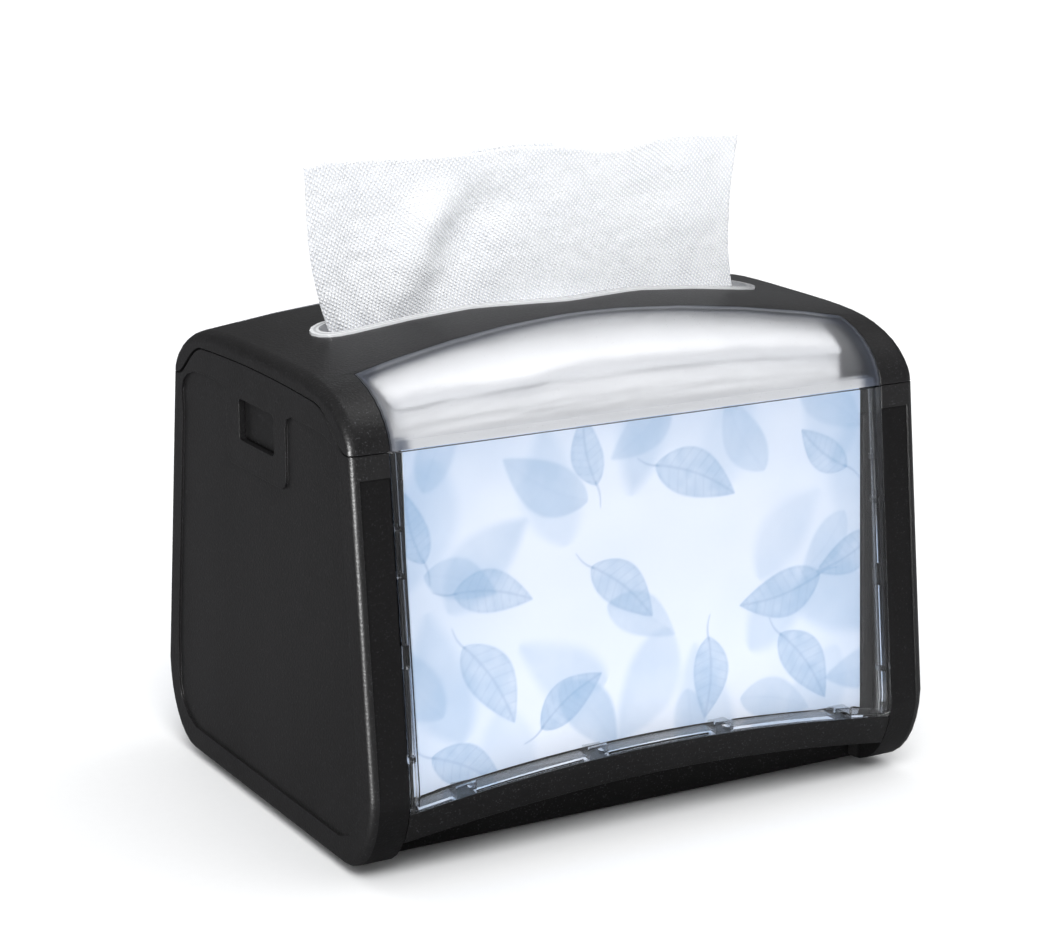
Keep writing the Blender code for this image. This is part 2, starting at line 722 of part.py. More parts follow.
def lid_inner_shell():
    shell = lid_solid(SHELL_D0)
    # Pads that fill the windows
    for facing in (-1, 1):
        pad = lid_solid(0.0)
        keep(pad, window_prism(facing, 0.25))
        add(shell, pad)
    cut(shell, lid_solid(SHELL_D1, bottom=CAVITY_Z, coarse=True))
    # Rim round the slot, standing just above the cover
    rim = lid_solid(-0.7)
    keep(rim, slot_prism(RIM_SLOT, 140.0))
    cut(rim, lid_solid(4.7, bottom=CAVITY_Z, coarse=True))
    add(shell, rim)
    cut(shell, slot_prism(OPEN_SLOT, 130.0))
    cut_over_panels(shell)
    cut(shell, hinge_bar(BARREL_R + 0.5, -31.0, 31.0, 24))
    # Strike for the latch, with a lip at its lower edge
    strike = box(-97.0, -96.1, -5.0, 5.0, 139.6, 147.0)
    add(strike, box(-97.0, -95.7, -5.0, 5.0, 139.6, 141.2))
    add(shell, strike)
    finish(shell, "lid_inner_shell", SMOKE)


def hinge_pin():
    finish(hinge_bar(PIN_R, -PIN_HALF_L, PIN_HALF_L, 20), "hinge_pin", STEEL)


# ---------------------------------------------------------------- latch and springs
def latch_button():
    button = button_prism(BUTTON_HALF_Y, BUTTON_HALF_Z, 1.3, -98.8, -97.0)
    # Flange behind the wall
    add(button, button_prism(15.0, 8.4, 2.0, -97.9, -96.4))
    # Arm, inboard and then up
    add(button, box(-96.8, -93.4, -5.0, 5.0, 131.0, 134.0))
    add(button, box(-95.4, -93.4, -5.0, 5.0, 132.0, 143.1))
    # Peg inside the spring
    add(button, cylinder("X", (0.0, BUTTON_Z), 1.7, -96.8, -94.2, 20))
    finish(button, "latch_button", BUTTON)


def coil(name, axis, centre, start, stop, radii, turns, wire_r, per_turn):
    """Round wire wound along an axis, its radius going from radii[0] to radii[1]."""
    sides = 5
    count = int(turns * per_turn)
    sweep = 2 * math.pi * turns
    widening = radii[1] - radii[0]
    low = start + wire_r
    length = stop - wire_r - low
    rings = []
    for k in range(count + 1):
        t = k / count
        w = sweep * t
        cosine, sine = math.cos(w), math.sin(w)
        radius = radii[0] + widening * t
        # The pitch is closer at both ends than in the middle
        along = low + length * (t - math.sin(2 * math.pi * t) / (2 * math.pi) * 0.5)
        tangent = Vector((
            widening * cosine - radius * sweep * sine,
            widening * sine + radius * sweep * cosine,
            length * (1 - 0.5 * math.cos(2 * math.pi * t)),
        ))
        radial = Vector((cosine, sine, 0.0))
        binormal = tangent.cross(radial).normalized()
        ring = []
        for i in range(sides):
            q = 2 * math.pi * i / sides
            p = radial * (radius + wire_r * math.cos(q)) + binormal * (wire_r * math.sin(q))
            ring.append(on_axis(axis, along + p.z, centre[0] + p.x, centre[1] + p.y))
        rings.append(ring)
    finish(loft(rings), name, STEEL, smooth_deg=80.0)


def latch_spring():
    coil(
        "latch_spring", "X", (0.0, BUTTON_Z), -96.1, -90.3,
        radii=(3.4, 3.4), turns=3.5, wire_r=0.35, per_turn=14,
    )


# ---------------------------------------------------------------- magazine
PLATE_Z = 66.0
PLATE_T = 2.6
STACK_Z0 = 69.0
STACK_D = 5.2  # how far the stack stays under the lid's outer surface


def pusher_plate():
    plate = prism_xy(rounded(83.0, 50.0, 4.0, 4), PLATE_Z, PLATE_Z + PLATE_T)
    cut(plate, prism_xy(rounded(81.4, 48.4, 2.6, 4), PLATE_Z - 3, PLATE_Z + 1.2))
    ring_z, bore_z = (PLATE_Z - 1.0, PLATE_Z + 1.6), (PLATE_Z - 3.0, PLATE_Z + 1.2)
    for end in (-1, 1):
        add(plate, spring_seat(end * SPRING_X, 14.6, 13.2, ring_z, bore_z, 28))
    finish(plate, "pusher_plate", BLACK_IN)


def pusher_spring(name, end):
    coil(
        name, "Z", (end * SPRING_X, 0.0), 3.5, PLATE_Z + 0.9,
        radii=(16.6, 11.8), turns=6.0, wire_r=0.8, per_turn=16,
    )


def napkin_stack():
    stack = prism_xy(rounded(82.5, 54.0, 2.0, 3), STACK_Z0, 165.0)
    keep(stack, lid_solid(STACK_D, bottom=60.0, coarse=True))
    finish(stack, "napkin_stack", PAPER)


def napkin_point(u, v):
    """Middle of the standing sheet: u runs left to right and v upwards, both 0 to 1."""
    left = -74.0 - 9.5 * v**0.8
    right = 75.7 - 1.0 * v
    x = left + (right - left) * u
    wave = 2.2 * v * math.sin(2.6 * math.pi * u + 0.5)
    lean = 4.5 * v**1.6 * (1 - u) ** 3
    y = -2.6 + 4.0 * u + wave - lean
    low = crown_z(x) - 4.85
    top = 203.9 + 1.2 * math.cos(math.pi * u) - 0.9 * math.sin(2 * math.pi * u)
    return x, y, low + v * (top - low)


def dispensed_napkin():
    """The napkin that stands up out of the slot: a thin sheet that leans and curls a little."""
    across, up, half_t = 24, 8, 0.55
    sheet = [napkin_point(i / across, k / up) for k in range(up + 1) for i in range(across + 1)]
    verts = [(x, y + side * half_t, z) for side in (-1, 1) for x, y, z in sheet]
    row, rear = across + 1, len(sheet)
    faces = []
    for k in range(up):
        for i in range(across):
            a = k * row + i
            faces.append((a, a + 1, a + row + 1, a + row))
            faces.append((rear + a, rear + a + row, rear + a + row + 1, rear + a + 1))
    # Border of the sheet, once round, joining the front skin to the rear one
    rim = list(range(row)) + [k * row + across for k in range(1, up + 1)]
    rim += [up * row + i for i in range(across - 1, -1, -1)]
    rim += [k * row for k in range(up - 1, 0, -1)]
    for a, b in zip(rim, rim[1:] + rim[:1]):
        faces.append((a, b, rear + b, rear + a))
    finish(solid(verts, faces), "dispensed_napkin", PAPER)


# ---------------------------------------------------------------- assembly
for end_name, end in ENDS.items():
    side_panel(f"side_panel_{end_name}", end)
    pusher_spring(f"pusher_spring_{end_name}", end)
for facing_name, facing in FACINGS.items():
    frame_part(f"{facing_name}_frame", facing)
    clear_panel(f"clear_panel_{facing_name}", facing)
    insert_card(f"insert_card_{facing_name}", facing)
    for end_name, end in ENDS.items():
        corner = f"{facing_name}_{end_name}"
        rubber_foot(f"rubber_foot_{corner}", end * FOOT_X, facing * FIXING_Y)
        base_screw(f"base_screw_{corner}", end * SCREW_X, facing * FIXING_Y)
base_tray()
lid_cover()
lid_inner_shell()
hinge_pin()
latch_button()
latch_spring()
pusher_plate()
napkin_stack()
dispensed_napkin()

# Set the body off centre, so the whole object's box is centred on the origin
for obj in bpy.data.objects:
    obj.location.x += X_SHIFT * MM
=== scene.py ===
# A napkin dispenser: black end columns and lid, clear panels over printed cards at front and
# rear, and a smoky window in the lid with a slot that a napkin stands out of.
# It stands on z = 0 with its width along x; the front faces -y.
# Lengths are in millimetres unless a comment says otherwise.
import math

import bmesh
import bpy
import numpy as np
from mathutils import Matrix, Vector


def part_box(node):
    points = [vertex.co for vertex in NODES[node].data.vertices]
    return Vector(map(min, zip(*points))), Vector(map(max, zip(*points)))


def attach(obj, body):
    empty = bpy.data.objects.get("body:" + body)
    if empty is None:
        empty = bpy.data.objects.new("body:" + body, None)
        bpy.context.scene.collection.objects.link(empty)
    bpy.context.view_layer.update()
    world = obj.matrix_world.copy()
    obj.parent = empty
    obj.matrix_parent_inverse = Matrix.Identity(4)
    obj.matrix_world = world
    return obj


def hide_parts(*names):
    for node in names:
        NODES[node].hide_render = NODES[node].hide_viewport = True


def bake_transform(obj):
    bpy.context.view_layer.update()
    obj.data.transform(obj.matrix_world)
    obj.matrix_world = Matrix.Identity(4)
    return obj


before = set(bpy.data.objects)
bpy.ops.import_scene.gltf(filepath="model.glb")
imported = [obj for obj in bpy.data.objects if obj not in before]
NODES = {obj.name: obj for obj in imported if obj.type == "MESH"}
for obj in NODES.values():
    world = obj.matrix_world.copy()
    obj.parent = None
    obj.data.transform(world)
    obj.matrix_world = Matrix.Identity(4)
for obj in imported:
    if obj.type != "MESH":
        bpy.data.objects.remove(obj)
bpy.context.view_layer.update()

MM = 0.001

# ------------------------------------------------------------------ shared dimensions
# Centre of the body across its width: the hinge barrel stands out at one end only
CENTRE_X = (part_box("front_frame")[0].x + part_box("front_frame")[1].x) / 2 / MM
LID_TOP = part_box("lid_cover")[1].z / MM
LID_HALF = 88.0  # half the lid's width
LID_DROP = 6.95  # fall of the lid's top from its middle to its ends
DOME_FOOT = 131.35  # height at which the stack's dome starts
ARCH_TOP, ARCH_DROP, ARCH_HALF = 29.0, 6.2, 85.0  # lower edge of the clear panels


def lid_top(x):
    return LID_TOP - LID_DROP * ((x - CENTRE_X) / LID_HALF) ** 2


def panel_arch(across):
    """Height of the panels' lower edge, from a number, an array or a Signal."""
    return ARCH_TOP - ARCH_DROP * (across / ARCH_HALF) ** 2


# ------------------------------------------------------------------ node helpers
def operator(kind, swapped=False):
    """An arithmetic method that adds a math node of this kind."""

    def apply(first, second=None):
        pair = (second, first) if swapped else (first, second)
        return first.tree.math(kind, *pair)

    return apply


class Signal:
    """An output of a shader node. Arithmetic on it adds math nodes."""

    def __init__(self, tree, socket):
        self.tree = tree
        self.socket = socket

    __add__ = operator("ADD")
    __radd__ = operator("ADD", swapped=True)
    __sub__ = operator("SUBTRACT")
    __rsub__ = operator("SUBTRACT", swapped=True)
    __mul__ = operator("MULTIPLY")
    __rmul__ = operator("MULTIPLY", swapped=True)
    __truediv__ = operator("DIVIDE")
    __pow__ = operator("POWER")
    __abs__ = operator("ABSOLUTE")
    max = operator("MAXIMUM")
    sqrt = operator("SQRT")
    cos = operator("COSINE")

    def ramp(self, start, stop, low=0.0, high=1.0):
        """Smooth step from low, where the signal is start, to high, where it is stop."""
        inputs = {"Value": self, "From Min": start, "From Max": stop, "To Min": low, "To Max": high}
        return self.tree.signal(
            "ShaderNodeMapRange", inputs, interpolation_type="SMOOTHSTEP", clamp=True
        )


class Tree:
    """A node tree, with short calls that add nodes."""

    def __init__(self, tree):
        self.tree = tree
        tree.nodes.clear()

    def node(self, kind, inputs=None, **settings):
        node = self.tree.nodes.new(kind)
        for key, value in settings.items():
            setattr(node, key, value)
        for key, value in (inputs or {}).items():
            self.put(node.inputs[key], value)
        return node

    def signal(self, kind, inputs=None, output=0, **settings):
        return Signal(self, self.node(kind, inputs, **settings).outputs[output])

    def put(self, socket, value):
        if isinstance(value, Signal):
            self.tree.links.new(value.socket, socket)
        elif value is not None:
            if isinstance(value, tuple) and len(value) == 3 and socket.type == "RGBA":
                value = (*value, 1.0)
            socket.default_value = value

    def math(self, kind, first, second=None):
        return self.signal("ShaderNodeMath", {0: first, 1: second}, operation=kind)

    def vector_math(self, kind, first, second, output=0):
        return self.signal("ShaderNodeVectorMath", {0: first, 1: second}, output, operation=kind)

    def parts(self, vector):
        node = self.node("ShaderNodeSeparateXYZ", {0: vector})
        return [Signal(self, output) for output in node.outputs]

    def light_path(self, output):
        return self.signal("ShaderNodeLightPath", output=output)


class Look(Tree):
    """A material whose patterns follow the position on the piece, at rest, in millimetres."""

    def __init__(self, name):
        self.material = bpy.data.materials.new(name)
        self.material.use_nodes = True
        super().__init__(self.material.node_tree)
        metres = self.signal("ShaderNodeTexCoord", output="Object")
        self.place = self.vector_math("MULTIPLY", metres, (1000.0, 1000.0, 1000.0))

    def xyz(self):
        return self.parts(self.place)

    def scaled(self, size, stretch=(1.0, 1.0, 1.0)):
        factor = 1.0 / size
        return self.vector_math("MULTIPLY", self.place, tuple(factor * s for s in stretch))

    def noise(self, size, detail=2.0, rough=0.5, stretch=(1.0, 1.0, 1.0)):
        """Noise whose features are about size across."""
        inputs = {"Vector": self.scaled(size, stretch), "Scale": 1.0}
        inputs.update({"Detail": detail, "Roughness": rough})
        return self.signal("ShaderNodeTexNoise", inputs)

    def voronoi(self, size):
        return self.signal("ShaderNodeTexVoronoi", {"Vector": self.scaled(size), "Scale": 1.0})

    def mix(self, factor, first, second):
        inputs = {0: factor, 6: first, 7: second}
        return self.signal("ShaderNodeMix", inputs, output=2, data_type="RGBA")

    def bump(self, height, depth, strength, normal=None):
        inputs = {"Strength": strength, "Distance": depth * MM, "Height": height, "Normal": normal}
        return self.signal("ShaderNodeBump", inputs)

    def rounded_normal(self, radius):
        return self.signal("ShaderNodeBevel", {"Radius": radius * MM}, samples=4)

    def edge(self, rounded):
        """1 on a convex or concave edge, 0 on open faces."""
        flat = self.signal("ShaderNodeNewGeometry", output="Normal")
        match = self.vector_math("DOT_PRODUCT", rounded, flat, output="Value")
        return match.ramp(start=0.995, stop=0.80)

    def principled(self, **values):
        inputs = {key.replace("_", " "): value for key, value in values.items()}
        return self.signal("ShaderNodeBsdfPrincipled", inputs)

    def transparent(self, colour):
        return self.signal("ShaderNodeBsdfTransparent", {0: colour})

    def mix_shader(self, factor, first, second):
        return self.signal("ShaderNodeMixShader", {0: factor, 1: first, 2: second})

    def finish(self, shader):
        self.node("ShaderNodeOutputMaterial", {"Surface": shader})
        return self.material

    def finish_clear(self, shader, lamp_tint):
        """Shadow and diffuse rays, which carry light, pass straight through with a tint."""
        path = self.node("ShaderNodeLightPath")
        shadow, diffuse = (
            Signal(self, path.outputs[key]) for key in ("Is Shadow Ray", "Is Diffuse Ray")
        )
        through = self.transparent(lamp_tint)
        return self.finish(self.mix_shader(shadow.max(diffuse), shader, through))


def from_centre(x):
    return abs(x - CENTRE_X)


# ------------------------------------------------------------------ materials
def moulded_plastic(name, dark, light, rough, grain, depth, specular, edge=0.3, inset=False):
    """Plastic with a fine spark-eroded grain, faint flow marks, pale specks that are dust and
    painted glints, and edges polished by handling whose lighter colour is partly wear and partly a
    painted highlight.
    """
    edge_rough = 0.30
    look = Look(name)
    fine = look.noise(grain, detail=2.0, rough=0.6)
    cells = look.voronoi(grain * 1.5)
    flow = look.noise(size=34.0, detail=3.0, rough=0.55, stretch=(1.0, 1.0, 0.35))
    dust_and_glint = look.noise(size=0.55, detail=1.0)
    rounded = look.rounded_normal(edge)
    edge_wear_and_highlight = look.edge(rounded)
    normal = look.bump(fine * 0.65 + cells * 0.5, depth, strength=0.55, normal=rounded)
    tone = fine * 0.45 + flow * 0.55
    colour = look.mix(tone.ramp(start=0.3, stop=0.7), dark, light)
    # Pale specks: dust, and painted glints in the grain
    colour = look.mix(dust_and_glint.ramp(start=0.63, stop=0.73) * 0.32, colour, (0.10, 0.10, 0.11))
    # Edges lighter in colour: partly wear, partly a painted highlight along the rounding
    colour = look.mix(edge_wear_and_highlight * 0.35, colour, tuple(c * 2.2 for c in light))
    roughness = (rough - 0.09) + fine * 0.12 + flow * 0.10
    roughness = roughness * edge_wear_and_highlight.ramp(start=0.0, stop=1.0, low=1.0, high=edge_rough / rough)
    if inset:
        # The sunk face down each column has a finer, darker finish than the rest
        x, y, z = look.xyz()
        sunk = from_centre(x).ramp(start=98.25, stop=98.05) * z.ramp(start=123.95, stop=123.7)
        sunk = sunk * abs(y).ramp(start=58.0, stop=60.0)
        colour = look.mix(sunk * 0.55, colour, (0.0035, 0.0034, 0.0036))
        specular = specular - sunk * (specular * 0.55)
    return look.finish(
        look.principled(
            Base_Color=colour, Roughness=roughness, Normal=normal, Specular_IOR_Level=specular
        )
    )


def clear_plastic():
    look = Look("clear_plastic_look")
    x, _, z = look.xyz()
    wave = look.noise(size=26.0)
    scratch = look.noise(size=1.0, detail=3.0, rough=0.6, stretch=(0.05, 1.0, 1.6))
    specks = look.noise(size=0.7, detail=1.0)
    normal = look.bump(wave, depth=0.05, strength=0.25, normal=look.rounded_normal(0.18))
    roughness = 0.012 + scratch.ramp(start=0.62, stop=0.75) * 0.10
    roughness = roughness + specks.ramp(start=0.74, stop=0.80) * 0.25
    # The ends of each panel are darker above its foot
    side = from_centre(x).ramp(start=84.1, stop=84.9) * z.ramp(start=30.0, stop=50.0)
    tint = look.mix(side, (0.975, 0.985, 0.99), (0.50, 0.53, 0.58))
    glass = look.principled(
        Base_Color=tint, Roughness=roughness, IOR=1.47, Transmission_Weight=1.0, Normal=normal
    )
    # The four clips on the lower rim are thin-walled, so they show less than solid blocks would
    across = from_centre(x)
    pair_centre, half_pitch = 46.0, 23.0
    from_clip = abs(abs(across - pair_centre) - half_pitch)
    above_arch = z - panel_arch(across)
    clip = from_clip.ramp(start=3.5, stop=3.2) * above_arch.ramp(start=4.4, stop=4.0)
    glass = look.mix_shader(clip * 0.85, glass, look.transparent((0.93, 0.94, 0.95)))
    return look.finish_clear(glass, lamp_tint=(0.95, 0.96, 0.965))


def smoky_plastic():
    """Frosted smoky window and the clear ring round the slot, which are one moulding."""
    look = Look("smoky_window_look")
    x, y, z = look.xyz()
    frost = look.noise(size=0.5, rough=0.6)
    cloud = look.noise(size=14.0, detail=3.0, rough=0.55)
    offset = x - CENTRE_X
    across = abs(offset)
    depth = abs(y)
    # Distance in from the window's curved upper edge
    inside = depth - (30.0 + 12.0 * (across / LID_HALF) ** 1.42)
    # Painted shade: the frosting is darkened along the cover's upper edge and at the window's two
    # ends, where the cover shades the stack
    border = (inside + cloud * 1.2).ramp(start=5.2, stop=0.6)
    border = border.max(across.ramp(start=85.2, stop=87.6) * 0.9)
    lip = (inside.ramp(start=0.9, stop=0.4) * 0.6).max(across.ramp(start=86.9, stop=87.3))
    lip = lip * depth.ramp(start=24.0, stop=27.0)
    rim = z.ramp(start=134.6, stop=133.7) * across.ramp(start=86.5, stop=84.0, low=0.25)
    ring = depth.ramp(start=22.0, stop=19.0)

    # How far a point of the ring lies in from its outer outline: round ends, swollen middle
    swell_half, end_width, swell_width, end_centre = 36.0, 9.4, 7.4, 71.9
    near = (1.0 - across / swell_half).max(0.0)
    swell = (near * near) * (3.0 - 2.0 * near)
    half_width = end_width + swell_width * swell
    past = (across - end_centre).max(0.0)
    into = half_width - (past * past + y * y).sqrt()
    # Painted shade: a dark groove line and a dark inner outline across the ring stand in for the
    # shading of its rounded profile
    groove_shade = into.ramp(start=0.95, stop=1.35) * into.ramp(start=2.15, stop=1.75)
    outline = into.ramp(start=2.72, stop=2.95)
    contour_shade = (groove_shade * 0.42).max(outline * 0.75) * ring
    normal = look.bump(frost * 0.03 - contour_shade * 0.20, depth=1.0, strength=0.5)

    # Share of the surface that is milky rather than clear
    milk = 0.06 + cloud * 0.06
    milk = milk.max(border * 0.80)
    milk = milk.max(rim * 0.60)
    milk = (milk * (1.0 - ring)).max(ring * 0.80)
    milk = milk.max(lip)

    roughness = 0.24 + frost * 0.12
    roughness = roughness * ring.ramp(start=0.0, stop=1.0, low=1.0, high=0.08)
    tint = look.mix(ring, (0.972, 0.968, 0.966), (0.99, 0.995, 1.0))
    glass = look.principled(
        Base_Color=tint, Roughness=roughness, IOR=1.30, Transmission_Weight=1.0, Normal=normal
    )
    haze = look.mix(rim, (0.43, 0.445, 0.48), (0.49, 0.50, 0.52))
    # Nothing pale lies behind the two ends, so the frosting there stays dark
    haze = look.mix(across.ramp(start=79.5, stop=83.0), haze, (0.085, 0.10, 0.135))
    # Painted shade along the cover's edge and at the window's ends
    haze = look.mix(border, haze, (0.045, 0.052, 0.072))
    haze = look.mix(lip, haze, (0.030, 0.032, 0.040))
    # Painted highlight: the clear ring is milky near-white for the bright look of its rounded lip
    # and the napkin under it
    haze = look.mix(ring, haze, (0.93, 0.94, 0.95))
    # The painted shade lines across the ring
    haze = look.mix(contour_shade, haze, (0.20, 0.205, 0.22))
    # Painted shade: the ring darkens towards its right end
    right_end_shade = ring * offset.ramp(start=60.0, stop=80.0, low=0.0, high=0.50)
    haze = look.mix(right_end_shade, haze, (0.10, 0.105, 0.115))
    haze_rough = ring.ramp(start=0.0, stop=1.0, low=0.35, high=0.08)
    milky = look.principled(Base_Color=haze, Roughness=haze_rough, Normal=normal)
    seen = look.mix_shader(milk, glass, milky)
    return look.finish_clear(seen, lamp_tint=(0.93, 0.935, 0.945))


def tissue(name, pattern, line_stretch, depth, hollow_shade, raised, shading):
    """White tissue. pattern(look) gives its embossing, with painted shade in the hollows;
    shading(look, colour) its last tones.
    """
    look = Look(name)
    dots = pattern(look)
    line = look.noise(size=1.0, stretch=line_stretch)
    fibre = look.noise(size=0.35, detail=3.0, rough=0.65)
    blotch = look.noise(size=16.0, detail=3.0)
    height = dots * 0.9 + fibre * 0.5 + line * 0.35
    normal = look.bump(height, depth, strength=0.85)
    # Painted shade: the hollows of the embossing are darker than the raised points
    colour = look.mix(dots.ramp(start=0.0, stop=1.0), hollow_shade, raised)
    colour = look.mix(blotch.ramp(start=0.35, stop=0.65) * 0.25, colour, (0.93, 0.935, 0.945))
    return look.finish(
        look.principled(
            Base_Color=shading(look, colour),
            Roughness=0.85 + fibre * 0.12,
            Normal=normal,
            Specular_IOR_Level=0.15,
            Sheen_Weight=0.15,
            Sheen_Roughness=0.5,
        )
    )


def napkin_dots(look):
    """Staggered rows of points on the sheet's UVs, turned so that they read as a twill."""
    row_pitch, half_pitch = 1.50, 0.84
    turn_cos, turn_sin = 0.985, 0.17
    uv = look.parts(look.signal("ShaderNodeUVMap", uv_map="Sheet"))
    wobble = look.noise(size=7.0)
    along, up = (part * 100.0 + wobble * 0.5 for part in uv[:2])
    along_turned = along * turn_cos + up * turn_sin
    up_turned = up * turn_cos - along * turn_sin
    rows = (along_turned * (2 * math.pi / row_pitch)).cos()
    columns = (up_turned * (2 * math.pi / 2 / half_pitch)).cos()
    return (rows * columns).ramp(start=-0.35, stop=0.85)


def napkin_shading(look, colour):
    """The lid's reflection of the sheet is kept fainter than the sheet itself."""
    return look.mix(look.light_path("Is Glossy Ray") * 0.45, colour, (0.02, 0.02, 0.02))


def stack_shading(look, colour):
    """Painted shade: the upper plies curl under the lid, so a darker band is painted on those just
    below them, and darker ply lines lower down.
    """
    x, y, z = look.xyz()
    bow = (from_centre(x) / LID_HALF) ** 2 * 5.6
    wave = (look.noise(size=30.0, stretch=(1.0, 1.0, 0.2)) - 0.5) * 5.0
    level = z + bow + wave
    # Painted shade: a darker band just under the curled upper plies
    curl_shade = level.ramp(start=147.6, stop=145.4) * level.ramp(start=138.0, stop=144.6)
    curl_shade = curl_shade * abs(y).ramp(start=44.0, stop=51.0)
    colour = look.mix(curl_shade * 0.60, colour, (0.40, 0.41, 0.43))
    # Painted shade: darker ply lines lower down the stack's sides
    layers = look.noise(size=3.4, stretch=(0.03, 0.03, 1.0))
    low = level.ramp(start=141.0, stop=137.0) * layers
    return look.mix(low * 0.40, colour, (0.55, 0.56, 0.57))


def card_stock():
    look = Look("card_stock_look")
    fibre = look.noise(size=0.5, detail=3.0, rough=0.6)
    return look.finish(
        look.principled(
            Base_Color=look.mix(fibre, (0.83, 0.85, 0.89), (0.90, 0.91, 0.94)),
            Roughness=0.55 + fibre * 0.15,
            Normal=look.bump(fibre, depth=0.03, strength=0.4),
        )
    )


def printed_card():
    """The print's colours are an attribute of its mesh; paper tooth and ink gloss are added."""
    look = Look("printed_card_look")
    ink = look.signal("ShaderNodeAttribute", attribute_name="Print")
    fibre = look.noise(size=0.5, detail=3.0, rough=0.6)
    screen = look.voronoi(size=0.35)
    colour = look.mix(fibre * 0.07, ink, (1.0, 1.0, 1.0))
    colour = look.mix(screen * 0.05, colour, (0.40, 0.52, 0.72))
    return look.finish(
        look.principled(
            Base_Color=colour,
            Roughness=0.38 + fibre * 0.18,
            Normal=look.bump(fibre, depth=0.02, strength=0.35),
            Specular_IOR_Level=0.3,
        )
    )


def metal(name, dark, light, rough):
    look = Look(name)
    grain = look.noise(size=0.3, detail=3.0, rough=0.6)
    stain = look.noise(size=5.0)
    return look.finish(
        look.principled(
            Base_Color=look.mix(stain.ramp(start=0.35, stop=0.7), dark, light),
            Metallic=1.0,
            Roughness=(rough - 0.06) + grain * 0.16,
            Normal=look.bump(grain, depth=0.01, strength=0.5, normal=look.rounded_normal(0.1)),
        )
    )


def rubber():
    look = Look("foot_rubber_look")
    grain = look.noise(size=0.5, detail=3.0, rough=0.6)
    scuff = look.noise(size=2.5, detail=3.0, rough=0.6)
    scuffed = scuff.ramp(start=0.45, stop=0.75)
    return look.finish(
        look.principled(
            Base_Color=look.mix(scuffed, (0.018, 0.018, 0.018), (0.06, 0.06, 0.058)),
            Roughness=0.75 + grain * 0.2,
            Normal=look.bump(grain, depth=0.05, strength=0.6, normal=look.rounded_normal(0.3)),
        )
    )


BLACK = moulded_plastic(
    "black_plastic_look", dark=(0.0058, 0.0055, 0.0058), light=(0.0110, 0.0105, 0.0111),
    rough=0.38, grain=0.62, depth=0.14, specular=0.44, inset=True,
)
BLACK_INNER = moulded_plastic(
    "black_inner_look", dark=(0.0045, 0.0043, 0.0046), light=(0.0085, 0.0082, 0.0086),
    rough=0.47, grain=0.7, depth=0.06, specular=0.26,
)
BUTTON = moulded_plastic(
    "button_look", dark=(0.0050, 0.0048, 0.0050), light=(0.0085, 0.0082, 0.0086),
    rough=0.34, grain=0.4, depth=0.04, specular=0.40, edge=0.35,
)
CLEAR = clear_plastic()
SMOKY = smoky_plastic()
NAPKIN = tissue(
    "napkin_look", napkin_dots, line_stretch=(0.05, 1.0, 1.3), depth=0.38,
    hollow_shade=(0.77, 0.79, 0.83), raised=(0.985, 0.987, 0.99), shading=napkin_shading,
)
STACK = tissue(
    "stack_look", lambda look: look.noise(size=1.2), line_stretch=(0.05, 1.0, 1.0), depth=0.12,
    hollow_shade=(0.84, 0.845, 0.855), raised=(0.95, 0.953, 0.957), shading=stack_shading,
)
CARD = card_stock()
PRINT = printed_card()
STEEL = metal("spring_steel_look", dark=(0.42, 0.43, 0.44), light=(0.62, 0.63, 0.64), rough=0.26)
ZINC = metal("zinc_look", dark=(0.40, 0.41, 0.42), light=(0.56, 0.57, 0.58), rough=0.34)
RUBBER = rubber()

LOOKS = {
    "side_panel_left": BLACK, "side_panel_right": BLACK, "lid_cover": BLACK,
    "base_tray": BLACK_INNER, "front_frame": BLACK_INNER,
    "rear_frame": BLACK_INNER, "pusher_plate": BLACK_INNER,
    "clear_panel_front": CLEAR, "clear_panel_rear": CLEAR,
    "insert_card_front": CARD, "insert_card_rear": CARD,
    "lid_inner_shell": SMOKY,
    "hinge_pin": STEEL, "latch_spring": STEEL,
    "pusher_spring_left": STEEL, "pusher_spring_right": STEEL,
    "latch_button": BUTTON,
    "napkin_stack": STACK, "dispensed_napkin": NAPKIN,
}
for corner in ("front_left", "front_right", "rear_left", "rear_right"):
    LOOKS["rubber_foot_" + corner] = RUBBER
    LOOKS["base_screw_" + corner] = ZINC


def dress(name, obj):
    """Give a CAD piece its material and clean shading: smooth, but split at sharp edges."""
    mesh = obj.data
    for i in range(len(obj.material_slots)):
        mesh.materials[i] = LOOKS[name]
    for key in ("custom_normal", "sharp_edge"):
        attribute = mesh.attributes.get(key)
        if attribute is not None:
            mesh.attributes.remove(attribute)
    for polygon in mesh.polygons:
        polygon.use_smooth = True
    weld = obj.modifiers.new("weld", "WELD")
    weld.merge_threshold = 2e-6
    split = obj.modifiers.new("split", "EDGE_SPLIT")
    split.split_angle = math.radians(32)
    split.use_edge_sharp = False
    normals = obj.modifiers.new("normals", "WEIGHTED_NORMAL")
    normals.keep_sharp = True
    normals.weight = 100


for name, obj in NODES.items():
    dress(name, obj)


# ------------------------------------------------------------------ mesh helpers
def mesh_object(name, verts, faces, material, smooth_faces=True):
    """An object from vertices in millimetres."""
    mesh = bpy.data.meshes.new(name)
    mesh.from_pydata([(v[0] * MM, v[1] * MM, v[2] * MM) for v in verts], [], faces)
    mesh.update()
    for polygon in mesh.polygons:
        polygon.use_smooth = smooth_faces
    mesh.materials.append(material)
    obj = bpy.data.objects.new(name, mesh)
    bpy.context.scene.collection.objects.link(obj)
    return obj


def face_outward(obj):
    work = bmesh.new()
    work.from_mesh(obj.data)
    bmesh.ops.recalc_face_normals(work, faces=work.faces)
    work.to_mesh(obj.data)
    work.free()


def smooth(t):
    t = np.clip(t, 0, 1)
    return t * t * (3 - 2 * t)


def bell(distance, width, power=2):
    return np.exp(-((distance / width) ** power))


